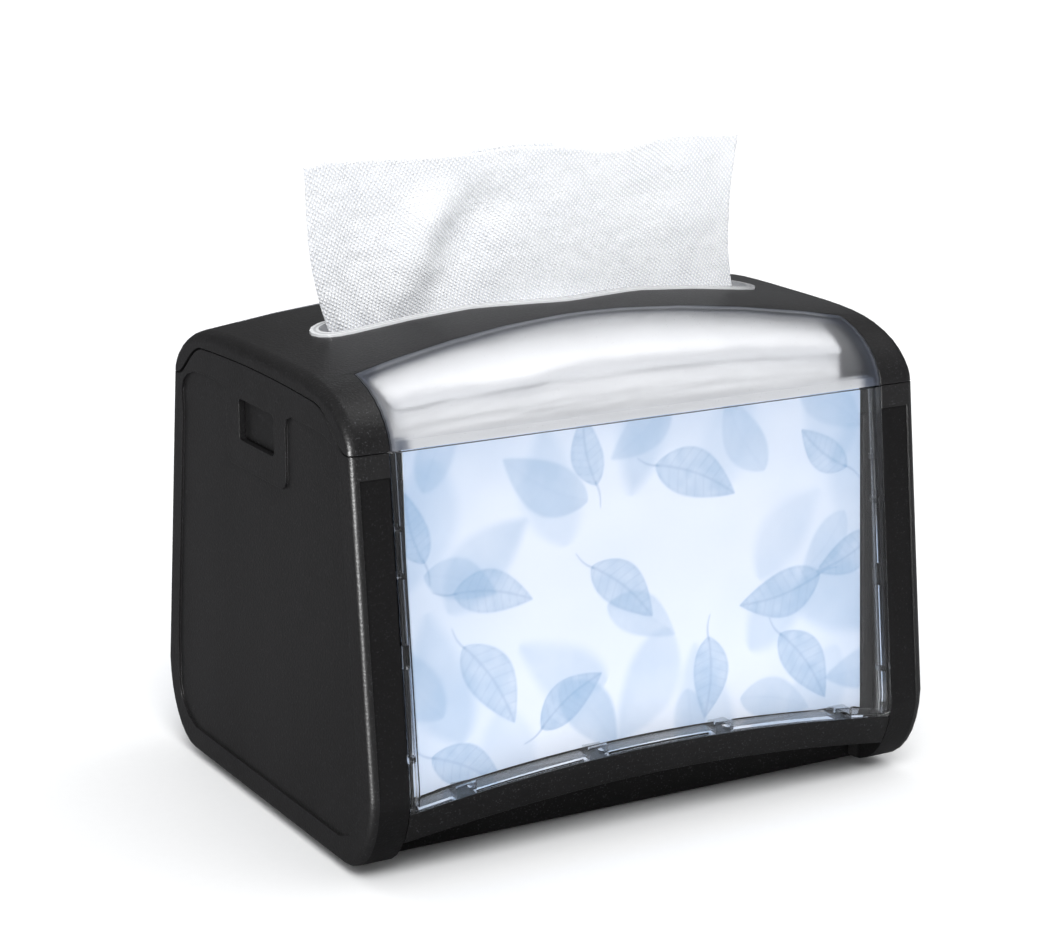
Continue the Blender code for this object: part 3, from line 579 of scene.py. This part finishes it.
def value_noise(seed, columns, rows):
    """Smooth random height between -1 and 1 over coordinates of 0..1, on a grid of cells."""
    grid = np.random.default_rng(seed).uniform(-1, 1, (columns + 3, rows + 3))

    def height(u, v):
        u = np.clip(u, 0, 1) * columns
        v = np.clip(v, 0, 1) * rows
        i = np.minimum(u.astype(int), columns - 1)
        j = np.minimum(v.astype(int), rows - 1)
        right, up = u - i, v - j
        right, up = right * right * (3 - 2 * right), up * up * (3 - 2 * up)
        return (
            grid[i, j] * (1 - right) * (1 - up)
            + grid[i + 1, j] * right * (1 - up)
            + grid[i, j + 1] * (1 - right) * up
            + grid[i + 1, j + 1] * right * up
        )

    return height


# ------------------------------------------------------------------ dispensed napkin
SHEET_WIDTH, SHEET_HEIGHT = 150.0, 50.0  # nominal, for distances along the sheet
FOOT_DEPTH = 4.6  # the sheet's foot, below the lid's top
EDGE_TAPER = 0.9  # width over which the free edges thin out
sheet_bumps = value_noise(5, 12, 6)
sheet_ripples = value_noise(6, 46, 18)


def napkin_sheet(along, up):
    """Middle of the sheet. along runs from its left edge to its right, up from slot to free edge."""

    def from_line(start, lean):
        """Distance along the sheet from a line that leans to the right as it rises."""
        return (along - (start + lean * up)) * SHEET_WIDTH

    left = -74.2 - 12.6 * up**0.70 - 1.6 * np.sin(math.pi * np.clip(up, 0, 1)) ** 2
    right = 77.3 - 2.9 * np.sin(math.pi * up**0.85) - 0.6 * up
    x = CENTRE_X + left + (right - left) * along

    # The sheet's slant and long wave; its upper left corner leans forward
    y = -2.6 + 4.0 * along + 1.3 * up * np.sin(2.6 * math.pi * along + 0.5)
    y = y - 5.2 * up**1.6 * (1 - along) ** 3
    # A soft fold that leans to the right as it rises, with a shallower one beside it
    fold = from_line(start=0.195, lean=0.18)
    depth = 0.12 + 0.88 * np.sin(math.pi * np.clip(up * 1.02, 0, 1)) ** 1.2
    depth = depth * (1 - 0.80 * smooth((up - 0.62) / 0.36))
    y = y + depth * (3.4 * bell(fold - 9.0, 10.0) - 4.8 * bell(fold + 6.5, 8.5))
    left_fold = from_line(start=0.045, lean=0.10)
    y = y + 1.1 * bell(left_fold, 4.5) * smooth(up * 2.2) * (1 - 0.6 * up)
    # Gathers where the sheet leaves the slot at its left corner
    gathers = bell(along, 0.13) * bell(up, 0.28)
    y = y + 0.75 * gathers * np.sin(95.0 * along + 9.0 * up)
    right_fold = from_line(start=0.86, lean=0.05)
    y = y - 0.9 * bell(right_fold, 9.0) * smooth(up * 1.6)
    # The right edge curls back a little
    y = y + 2.6 * smooth((along - 0.86) / 0.14) ** 2 * (1 - 0.45 * up)
    y = y + 0.35 * sheet_bumps(along, up) * smooth(up * 3)
    y = y + 0.16 * sheet_ripples(along, up) * smooth(up * 4)

    # The free edge: a slow wave, two crests with a dip between, and lower corners
    left_share = 1 - along
    top = 204.6 + 1.9 * left_share + 0.9 * np.cos(2 * math.pi * along * 1.05) * left_share
    top = top + 1.5 * bell(along - 0.47, 0.09)
    top = top - 2.6 * bell(along - 0.70, 0.075) + 0.9 * bell(along - 0.86, 0.06)
    top = top - 0.8 * smooth((along - 0.9) / 0.1) - 1.2 * smooth((0.05 - along) / 0.05)
    low = lid_top(x) - FOOT_DEPTH
    z = low + up * (top - low)
    # The free corner at the right flares towards the rear
    corner = smooth((along - 0.93) / 0.07) * smooth((up - 0.72) / 0.28)
    return x + 1.6 * corner, y + 1.8 * corner, z


def napkin_ply(name, offset, rise, start, stop, columns, rows, half_thick):
    """One ply, moved forward by offset, with rise(along) added at its free edge."""
    along, up = np.meshgrid(np.linspace(start, stop, columns + 1), np.linspace(0, 1, rows + 1))
    step = 1e-3
    points = np.stack(napkin_sheet(along, up), -1)
    ahead = np.stack(napkin_sheet(along + step, up), -1)
    above = np.stack(napkin_sheet(along, up + step), -1)
    # The normals point towards the front
    normals = np.cross(ahead - points, above - points)
    normals /= np.linalg.norm(normals, axis=-1, keepdims=True)
    from_side = np.minimum(along - start, stop - along) * SHEET_WIDTH
    taper = np.clip(np.minimum(from_side, (1 - up) * SHEET_HEIGHT) / EDGE_TAPER, 0, 1)
    thick = half_thick * np.sqrt(np.clip(1 - (1 - taper) ** 2, 0.02, 1))
    points[..., 2] += rise(along) * up**2
    points = points + normals * offset
    front = points + normals * thick[..., None]
    back = points - normals * thick[..., None]
    verts = np.concatenate([front.reshape(-1, 3), back.reshape(-1, 3)])

    width = columns + 1
    count = width * (rows + 1)
    faces = []
    for row in range(rows):
        for i in range(columns):
            a = row * width + i
            b = count + a
            faces.append((a, a + 1, a + width + 1, a + width))
            faces.append((b, b + width, b + width + 1, b + 1))
    rim = list(range(width)) + [row * width + columns for row in range(1, rows + 1)]
    rim += [rows * width + i for i in range(columns - 1, -1, -1)]
    rim += [row * width for row in range(rows - 1, 0, -1)]
    for i, a in enumerate(rim):
        b = rim[(i + 1) % len(rim)]
        faces.append((a, count + a, count + b, b))
    obj = mesh_object(name, verts, faces, NAPKIN)

    # UVs in units of 100 mm along the sheet
    layer = obj.data.uv_layers.new(name="Sheet")
    flat = np.stack([along * 1.58, up * 0.52], -1).reshape(-1, 2)
    flat = np.concatenate([flat, flat])
    corners = np.zeros(len(obj.data.loops), int)
    obj.data.loops.foreach_get("vertex_index", corners)
    layer.data.foreach_set("uv", flat[corners].astype(np.float32).ravel())
    face_outward(obj)
    return obj


def back_rise(along):
    """The back ply shows above the front one near the middle."""
    return 2.1 * bell(along - 0.46, 0.11, power=4) - 0.8 + 0.35 * np.sin(38.0 * along)


front_ply = napkin_ply(
    "napkin_front_ply", offset=0.0, rise=lambda along: 0.0 * along,
    start=0.0, stop=1.0, columns=230, rows=84, half_thick=0.30,
)
back_ply = napkin_ply(
    "napkin_back_ply", offset=-0.72, rise=back_rise,
    start=0.004, stop=0.992, columns=160, rows=56, half_thick=0.28,
)
for ply in (front_ply, back_ply):
    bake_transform(ply)
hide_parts("dispensed_napkin")


# ------------------------------------------------------------------ napkin stack
STACK_LOW, STACK_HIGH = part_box("napkin_stack")
STACK_FOOT = STACK_LOW.z / MM
HALF_X = (STACK_HIGH.x - STACK_LOW.x) / 2 / MM
HALF_Y = (STACK_HIGH.y - STACK_LOW.y) / 2 / MM
DOME_HALF_Y = 65.1  # half the depth of the lid's outer form
SHEETS = 30  # visible layers up the sides
RINGS_PER_SHEET = 5
# Top sheets, each a soft step in from the rim: scale of the outline, drop below the dome
TOP_STEPS = (
    (0.992, 0.55), (0.982, 0.15), (0.966, -0.05), (0.955, 0.25),
    (0.945, 0.02), (0.92, 0.0), (0.90, 0.22), (0.885, 0.0),
)


def stack_dome(x, y, inset):
    """Top of the stack: the lid's outer form drawn in by inset."""
    height = lid_top(x) - inset - DOME_FOOT
    share = np.clip(1 - (np.abs(y) / (DOME_HALF_Y - inset)) ** 4.3, 0, 1)
    return DOME_FOOT + height * share ** (1 / 1.65)


def stack_outline():
    """Rounded rectangle about the centre, anticlockwise from the front left."""
    radius, inset, corner_steps = 3.0, 0.7, 6
    flat_x, flat_y = HALF_X - inset - radius, HALF_Y - inset - radius
    points = []
    # Each side: its outward direction and number of points
    sides = ((0, -1, 150), (1, 0, 70), (0, 1, 150), (-1, 0, 70))
    for side, (out_x, out_y, count) in enumerate(sides):
        step_x, step_y = -out_y, out_x
        start_x = flat_x * (out_x - step_x) + radius * out_x
        start_y = flat_y * (out_y - step_y) + radius * out_y
        for i in range(count):
            x = start_x + step_x * 2 * flat_x * i / count
            points.append((x, start_y + step_y * 2 * flat_y * i / count))
        centre_x, centre_y = flat_x * (out_x + step_x), flat_y * (out_y + step_y)
        for i in range(corner_steps):
            angle = math.radians(90 * (side - 1) + 90 * i / corner_steps)
            x = centre_x + radius * math.cos(angle)
            points.append((x, centre_y + radius * math.sin(angle)))
    return np.array(points)


def stack_mesh():
    outline = stack_outline()
    count = len(outline)
    tangent = np.roll(outline, -1, 0) - np.roll(outline, 1, 0)
    tangent /= np.linalg.norm(tangent, axis=1, keepdims=True)
    around = np.linspace(0, 1, count, endpoint=False)
    sheet_wave, fine_wave = value_noise(21, 30, 40), value_noise(22, 90, 60)
    top_noise = value_noise(23, 14, 9)
    rim = stack_dome(outline[:, 0] + CENTRE_X, outline[:, 1], 5.6)
    rings = []

    # The sides: rounded sheet edges of uneven thickness, flatter towards the top
    total = SHEETS * RINGS_PER_SHEET
    for k in range(total + 1):
        t = k / total
        sheet = t * SHEETS + 0.55 * math.sin(t * 23.0) + 0.4 * math.sin(t * 61.0 + 1.0)
        phase = sheet - math.floor(sheet)
        swell = math.sqrt(max(0.0, 1 - (2 * phase - 1) ** 2))
        shift = sheet_wave(around, math.floor(sheet) / SHEETS)
        push = -0.95 + (0.50 - 0.28 * smooth((t - 0.55) / 0.3)) * swell
        push = push + 0.40 * shift + 0.12 * fine_wave(around, t)
        sag = 0.8 * sheet_wave(around, t + 0.03) * math.sin(math.pi * t)
        x = outline[:, 0] + CENTRE_X + tangent[:, 1] * push
        y = outline[:, 1] - tangent[:, 0] * push
        rings.append(np.column_stack([x, y, STACK_FOOT + (rim - 1.0 - STACK_FOOT) * t + sag]))

    def top_ring(scale_x, scale_y):
        """Outline scaled about the centre, its waviness and its height under the lid."""
        x, y = outline[:, 0] * scale_x, outline[:, 1] * scale_y
        wobble = top_noise((x / HALF_X + 1) / 2, (y / HALF_Y + 1) / 2)
        return x, y, wobble, stack_dome(x + CENTRE_X, y, 5.5) - 0.25 + 0.18 * wobble

    for scale, drop in TOP_STEPS:
        x, y, wobble, z = top_ring(1 - (1 - scale) * 0.65, scale)
        rings.append(np.column_stack([x + CENTRE_X, y + 0.5 * wobble, z - drop * 1.3]))
    # The dome that lies against the lid, with a crease along each half
    for scale in np.linspace(0.86, 0.02, 26):
        x, y, _, z = top_ring(scale, scale)
        crease = bell(np.abs(y) - 33 - 3 * np.sin(x / 31.0), 1.6)
        rings.append(np.column_stack([x + CENTRE_X, y, z - 0.5 * crease]))

    faces = []
    for k in range(len(rings) - 1):
        low, high = k * count, (k + 1) * count
        for i in range(count):
            j = (i + 1) % count
            faces.append((low + i, low + j, high + j, high + i))
    faces.append(tuple(range(count)))
    faces.append(tuple((len(rings) - 1) * count + i for i in range(count)))
    obj = mesh_object("stacked_napkins", np.concatenate(rings), faces, STACK)
    face_outward(obj)
    return obj


stack = stack_mesh()
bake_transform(stack)
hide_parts("napkin_stack")


# ------------------------------------------------------------------ springs
def spring(name, box, axis, turns, wire, start_radius, end_radius):
    """Round wire of radius wire, wound between the two ends of the CAD spring's box.

    axis is 0 for x and 2 for z; the coils lie closer together at both ends.
    """
    per_turn, sides = 40, 12
    low, high = box
    start, stop = low[axis] / MM + wire, high[axis] / MM - wire
    centre = np.array([(low[i] + high[i]) / 2 / MM for i in range(3)])
    first, second = [i for i in range(3) if i != axis]
    steps = int(turns * per_turn)
    path = np.zeros((steps + 1, 3))
    for i in range(steps + 1):
        t = i / steps
        angle = 2 * math.pi * turns * t
        radius = start_radius + (end_radius - start_radius) * t
        ease = t - math.sin(2 * math.pi * t) / (2 * math.pi) * 0.5
        path[i, first] = centre[first] + radius * math.cos(angle)
        path[i, second] = centre[second] + radius * math.sin(angle)
        path[i, axis] = start + (stop - start) * ease
    tangent = np.gradient(path, axis=0)
    tangent /= np.linalg.norm(tangent, axis=1, keepdims=True)
    radial = path - centre
    radial[:, axis] = 0
    radial /= np.linalg.norm(radial, axis=1, keepdims=True)
    binormal = np.cross(tangent, radial)
    binormal /= np.linalg.norm(binormal, axis=1, keepdims=True)
    verts, faces = [], []
    for i in range(steps + 1):
        for s in range(sides):
            angle = 2 * math.pi * s / sides
            around = math.cos(angle) * radial[i] + math.sin(angle) * binormal[i]
            verts.append(path[i] + wire * around)
    for i in range(steps):
        for s in range(sides):
            a, b = i * sides + s, i * sides + (s + 1) % sides
            faces.append((a, b, b + sides, a + sides))
    faces.append(tuple(range(sides)))
    faces.append(tuple(steps * sides + s for s in range(sides)))
    obj = mesh_object(name, verts, faces, STEEL)
    face_outward(obj)
    return obj


for side in ("left", "right"):
    node = "pusher_spring_" + side
    low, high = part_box(node)
    coil = spring(
        "coil_" + side, (low, high), axis=2, turns=6.0, wire=0.8, start_radius=16.6, end_radius=11.8
    )
    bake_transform(coil)
    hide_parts(node)
low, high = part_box("latch_spring")
coil = spring(
    "coil_latch", (low, high), axis=0, turns=3.5, wire=0.35, start_radius=3.4, end_radius=3.4
)
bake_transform(coil)
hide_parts("latch_spring")


# ------------------------------------------------------------------ printed faces of the cards
PRINT_HALF = 82.15  # half the print's width
PRINT_TOP = 130.35
PRINT_ABOVE_ARCH = 0.85
# The card's outer face: distance from the middle at its reference height, and slope
FACE_Y, FACE_Z, FACE_SLOPE = 61.2, 131, 0.0542
INK_PROUD = 0.05
# Leaves, back to front: count, least spacing, lengths, edge softness, veins, strengths
LEAF_LAYERS = (
    (16, 24.0, (34, 46), (4.0, 7.0), 0.0, (0.22, 0.40)),
    (13, 25.0, (24, 34), (1.6, 3.0), 0.10, (0.32, 0.46)),
    (13, 27.0, (22, 33), (0.8, 1.1), 0.42, (0.40, 0.52)),
)


def srgb(*channels):
    """Linear colour from channels of 0..255."""
    return np.array(
        [
            (c / 255) / 12.92 if c / 255 <= 0.04045 else ((c / 255 + 0.055) / 1.055) ** 2.4
            for c in channels
        ]
    )


def tinted(colour, target, amount):
    return colour + (target - colour) * amount[..., None]


def leaf(x, z, foot_x, foot_z, turn, length, width, soft, veins):
    """Coverage of one leaf and of its veins. turn is its direction from its foot, in degrees."""
    angle = math.radians(turn)
    along = ((x - foot_x) * math.cos(angle) + (z - foot_z) * math.sin(angle)) / length
    aside = -(x - foot_x) * math.sin(angle) + (z - foot_z) * math.cos(angle)
    t = np.clip(along, 0, 1)
    aside = np.abs(aside - 0.06 * length * np.sin(math.pi * t))
    half = width / 2 * np.sin(math.pi * t**0.82) ** 0.85 * (1 - 0.12 * t)
    body = smooth((half - aside) / soft + 0.5) * (along > 0) * (along < 1)
    midrib = bell(aside, 0.42)
    side_ribs = np.mod(t * 9.5 - aside / width * 1.9, 1)
    side_ribs = bell(side_ribs - 0.5, 0.07) * (t > 0.04)
    rim = bell(half - aside - 0.5, 0.45) * (t > 0.02) * (t < 0.98)
    return body, np.clip(midrib + 0.6 * side_ribs + 0.45 * rim, 0, 1) * body * veins


def stalk(x, z, foot_x, foot_z, turn):
    """Coverage of a bowed, tapering stalk that runs back from a leaf's foot."""
    inner, outer, bend, width = 1.0, 7.0, 0.08, 0.4
    cos, sin = math.cos(math.radians(turn)), math.sin(math.radians(turn))
    x0, z0 = foot_x + inner * cos, foot_z + inner * sin
    run_x, run_z = foot_x - outer * cos - x0, foot_z - outer * sin - z0
    best = np.full(x.shape, 1e9)
    for t in np.linspace(0, 1, 60):
        bow = bend * math.sin(math.pi * t)
        from_x = x - (x0 + run_x * t - run_z * bow)
        from_z = z - (z0 + run_z * t + run_x * bow)
        best = np.minimum(best, np.hypot(from_x, from_z) - width * (1 - 0.5 * t))
    return smooth(0.5 - best / 0.5)


def scatter(seed):
    """A seeded scatter of plain leaves: more of them near the borders, few in the middle."""
    rng = np.random.RandomState(seed)
    leaves = []
    for count, gap, lengths, softness, veins, strengths in LEAF_LAYERS:
        placed = []
        for _ in range(4000):
            if len(placed) == count:
                break
            x, z, draw = rng.uniform(-82, 82), rng.uniform(26, 130), rng.uniform()
            turn, size = rng.uniform(0, 360), rng.uniform(*lengths)
            blur, tone = rng.uniform(*softness), rng.uniform(*strengths)
            border = max(abs(x) / 82, abs(z - 78) / 52)
            if draw > 0.04 + 0.96 * float(smooth((border - 0.45) / 0.4)):
                continue
            if any(math.hypot(x - px, z - pz) < gap for px, pz in placed):
                continue
            placed.append((x, z))
            angle = math.radians(turn)
            foot_x, foot_z = x - size / 2 * math.cos(angle), z - size / 2 * math.sin(angle)
            leaves.append((foot_x, foot_z, turn, size, size * 0.52, blur, veins, tone))
    return leaves


def artwork(x, z, flip):
    """Plain scattered leaves on a cool white ground, for points on the card."""
    if flip:
        x = -x
    white, pale = srgb(221, 226, 239), srgb(180, 197, 222)
    blue, deep = srgb(136, 168, 202), srgb(104, 140, 184)
    broad, medium = value_noise(41, 7, 5), value_noise(42, 16, 11)
    fine = value_noise(43, 60, 42)
    u, v = (x + 83) / 166, (z - 20) / 112
    cloud = 0.6 * broad(u, v) + 0.4 * medium(u, v)
    # Cooler towards the side and top borders, whiter through the middle
    edge = np.clip((np.abs(x) - 40) / 44, 0, 1) ** 1.2 * 0.50
    edge = edge + np.clip((z - 102) / 28, 0, 1) ** 1.2 * 0.50
    colour = tinted(white, pale, np.clip(edge * (0.9 + 0.35 * cloud) + 0.10 * cloud, 0, 1))
    for foot_x, foot_z, turn, length, width, soft, veins, strength in scatter(11):
        body, line = leaf(x, z, foot_x, foot_z, turn, length, width, soft, veins)
        mottle = (0.22 if veins > 0.1 else 0.08) * fine(u, v)
        tone = strength * (1.0 + 0.30 * medium(u * 0.9 + 0.05, v * 0.9) + mottle)
        colour = tinted(colour, blue, body * tone)
        colour = tinted(colour, deep, line * 0.7)
        if veins > 0.3:
            colour = tinted(colour, deep, stalk(x, z, foot_x, foot_z, turn) * 0.40)
    # A faint mottle over everything, then lighter towards the foot and darker at the top
    colour = colour * (1 + 0.012 * medium(v, u))[..., None]
    fade = 1.0 + 0.17 * smooth((92 - z) / 70) - 0.03 * smooth((z - 100) / 30)
    return np.clip(colour * fade[..., None], 0, 1)


def printed_face(name, facing, body):
    """The ink layer, a sheet just proud of the card's outer face; facing is its y direction."""
    columns, rows = 400, 270
    x = np.tile(np.linspace(-PRINT_HALF, PRINT_HALF, columns + 1), (rows + 1, 1))
    low = panel_arch(x) + PRINT_ABOVE_ARCH
    z = low + (PRINT_TOP - low) * np.linspace(0, 1, rows + 1)[:, None]
    y = facing * (FACE_Y + FACE_SLOPE * (FACE_Z - z) + INK_PROUD)
    verts = np.stack([x + CENTRE_X, y, z], -1).reshape(-1, 3)
    width = columns + 1
    faces = []
    for row in range(rows):
        for i in range(columns):
            a = row * width + i
            quad = (a, a + 1, a + width + 1, a + width)
            faces.append(quad if facing < 0 else quad[::-1])
    obj = mesh_object(name, verts, faces, PRINT)
    colour = artwork(x, z, flip=facing > 0).reshape(-1, 3)
    attribute = obj.data.attributes.new("Print", "FLOAT_COLOR", "POINT")
    rgba = np.concatenate([colour, np.ones((len(colour), 1))], 1)
    attribute.data.foreach_set("color", rgba.astype(np.float32).ravel())
    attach(obj, body)


printed_face("card_print_front", -1, "front_panel")
printed_face("card_print_rear", 1, "rear_panel")


# ------------------------------------------------------------------ stage
def floor():
    half = 9000
    look = Look("floor_look")
    x, y, _ = look.xyz()
    grain = look.noise(size=3.0, detail=3.0)
    pale = look.mix(grain, (0.86, 0.865, 0.87), (0.88, 0.885, 0.89))
    # Reflections see a darker floor, lighter in front of the object than beside and behind it
    ahead = (x * 0.35 - y).ramp(start=72.0, stop=165.0)
    dim = look.mix(ahead, (0.125, 0.125, 0.13), (0.39, 0.39, 0.395))
    colour = look.mix(look.light_path("Is Glossy Ray"), pale, dim)
    shader = look.principled(Base_Color=colour, Roughness=0.9, Specular_IOR_Level=0.1)
    corners = [(-half, -half, 0), (half, -half, 0), (half, half, 0), (-half, half, 0)]
    obj = mesh_object("floor", corners, [(0, 1, 2, 3)], look.finish(shader), smooth_faces=False)
    obj.location.z = -0.0001


def studio_world():
    """Even pale light; reflections see it dimmer, brightening from the horizon up."""
    world = bpy.data.worlds.new("studio")
    bpy.context.scene.world = world
    world.use_nodes = True
    tree = Tree(world.node_tree)
    glossy = tree.light_path("Is Glossy Ray")
    height = tree.parts(tree.signal("ShaderNodeTexCoord", output="Generated"))[2]
    mirrored = height.ramp(start=0.0, stop=0.9, low=0.07, high=0.24)
    other = 0.58 + tree.light_path("Is Camera Ray") * 0.50
    strength = glossy * mirrored + (1.0 - glossy) * other
    light = tree.signal("ShaderNodeBackground", {0: (0.985, 0.99, 1.0), 1: strength})
    tree.node("ShaderNodeOutputWorld", {0: light})


floor()
studio_world()


# ------------------------------------------------------------------ lights, in metres
def add_light(name, kind, power):
    data = bpy.data.lights.new(name, kind)
    data.energy = power
    obj = bpy.data.objects.new(name, data)
    bpy.context.scene.collection.objects.link(obj)
    return obj


def sun(name, towards, strength, spread):
    """Soft, even light over the object and the floor alike; spread is in degrees."""
    obj = add_light(name, "SUN", strength)
    obj.data.angle = math.radians(spread)
    obj.rotation_euler = Vector(towards).to_track_quat("Z", "Y").to_euler()
    obj.visible_glossy = False


def softbox(name, place, size, power, aim=(0, 0, 0.14), colour=(1, 1, 1)):
    """A rectangle of light that only the reflections see."""
    obj = add_light(name, "AREA", power)
    obj.data.shape = "RECTANGLE"
    obj.data.size, obj.data.size_y = size
    obj.data.color = colour
    obj.location = place
    obj.rotation_euler = (Vector(aim) - Vector(place)).to_track_quat("-Z", "Y").to_euler()
    obj.visible_diffuse = False
    obj.visible_transmission = False


sun("key", towards=(-0.30, -0.70, 0.88), strength=2.15, spread=30)
sun("fill", towards=(0.55, -0.30, 0.80), strength=0.75, spread=60)
sun("rear", towards=(-0.15, 0.85, 0.55), strength=0.60, spread=60)
softbox("sheen", place=(0.92, 1.42, 0.50), size=(0.75, 0.42), power=0.31, colour=(0.93, 0.96, 1.0))
softbox("front_curve", place=(0.50, 0.92, 1.20), size=(0.30, 0.40), power=0.50)
softbox("edges", place=(-1.28, -0.66, 0.24), size=(0.17, 0.50), power=46.0, aim=(0, 0, 0.08))
softbox("over", place=(0.45, -0.1, 1.4), size=(0.9, 0.7), power=2.8)


# ------------------------------------------------------------------ camera, in metres
AZIMUTH, ELEVATION, ROLL = (math.radians(a) for a in (-29.6885, 14.7815, 0.1701))
DISTANCE = 0.947095
SHIFT_RIGHT, SHIFT_UP = 0.00469, -0.097961  # the body's foot in the view, off its middle
SENSOR, LENS = 36.0, 96.71314286  # millimetres


def camera():
    scene = bpy.context.scene
    data = bpy.data.cameras.new("camera")
    obj = bpy.data.objects.new("camera", data)
    scene.collection.objects.link(obj)
    back = Vector(
        (
            math.sin(AZIMUTH) * math.cos(ELEVATION),
            -math.cos(AZIMUTH) * math.cos(ELEVATION),
            math.sin(ELEVATION),
        )
    )
    level = Vector((0, 0, 1)).cross(back).normalized()
    upright = back.cross(level)
    right = level * math.cos(ROLL) + upright * math.sin(ROLL)
    up = upright * math.cos(ROLL) - level * math.sin(ROLL)
    place = back * DISTANCE - right * SHIFT_RIGHT - up * SHIFT_UP + Vector((CENTRE_X * MM, 0, 0))
    rows = [(right[i], up[i], back[i], place[i]) for i in range(3)]
    obj.matrix_world = Matrix((*rows, (0, 0, 0, 1)))
    data.sensor_width = SENSOR
    data.lens = LENS
    data.clip_start, data.clip_end = 0.05, 60.0
    scene.camera = obj


bpy.context.scene.view_settings.view_transform = "Standard"
bpy.context.scene.view_settings.look = "None"
camera()
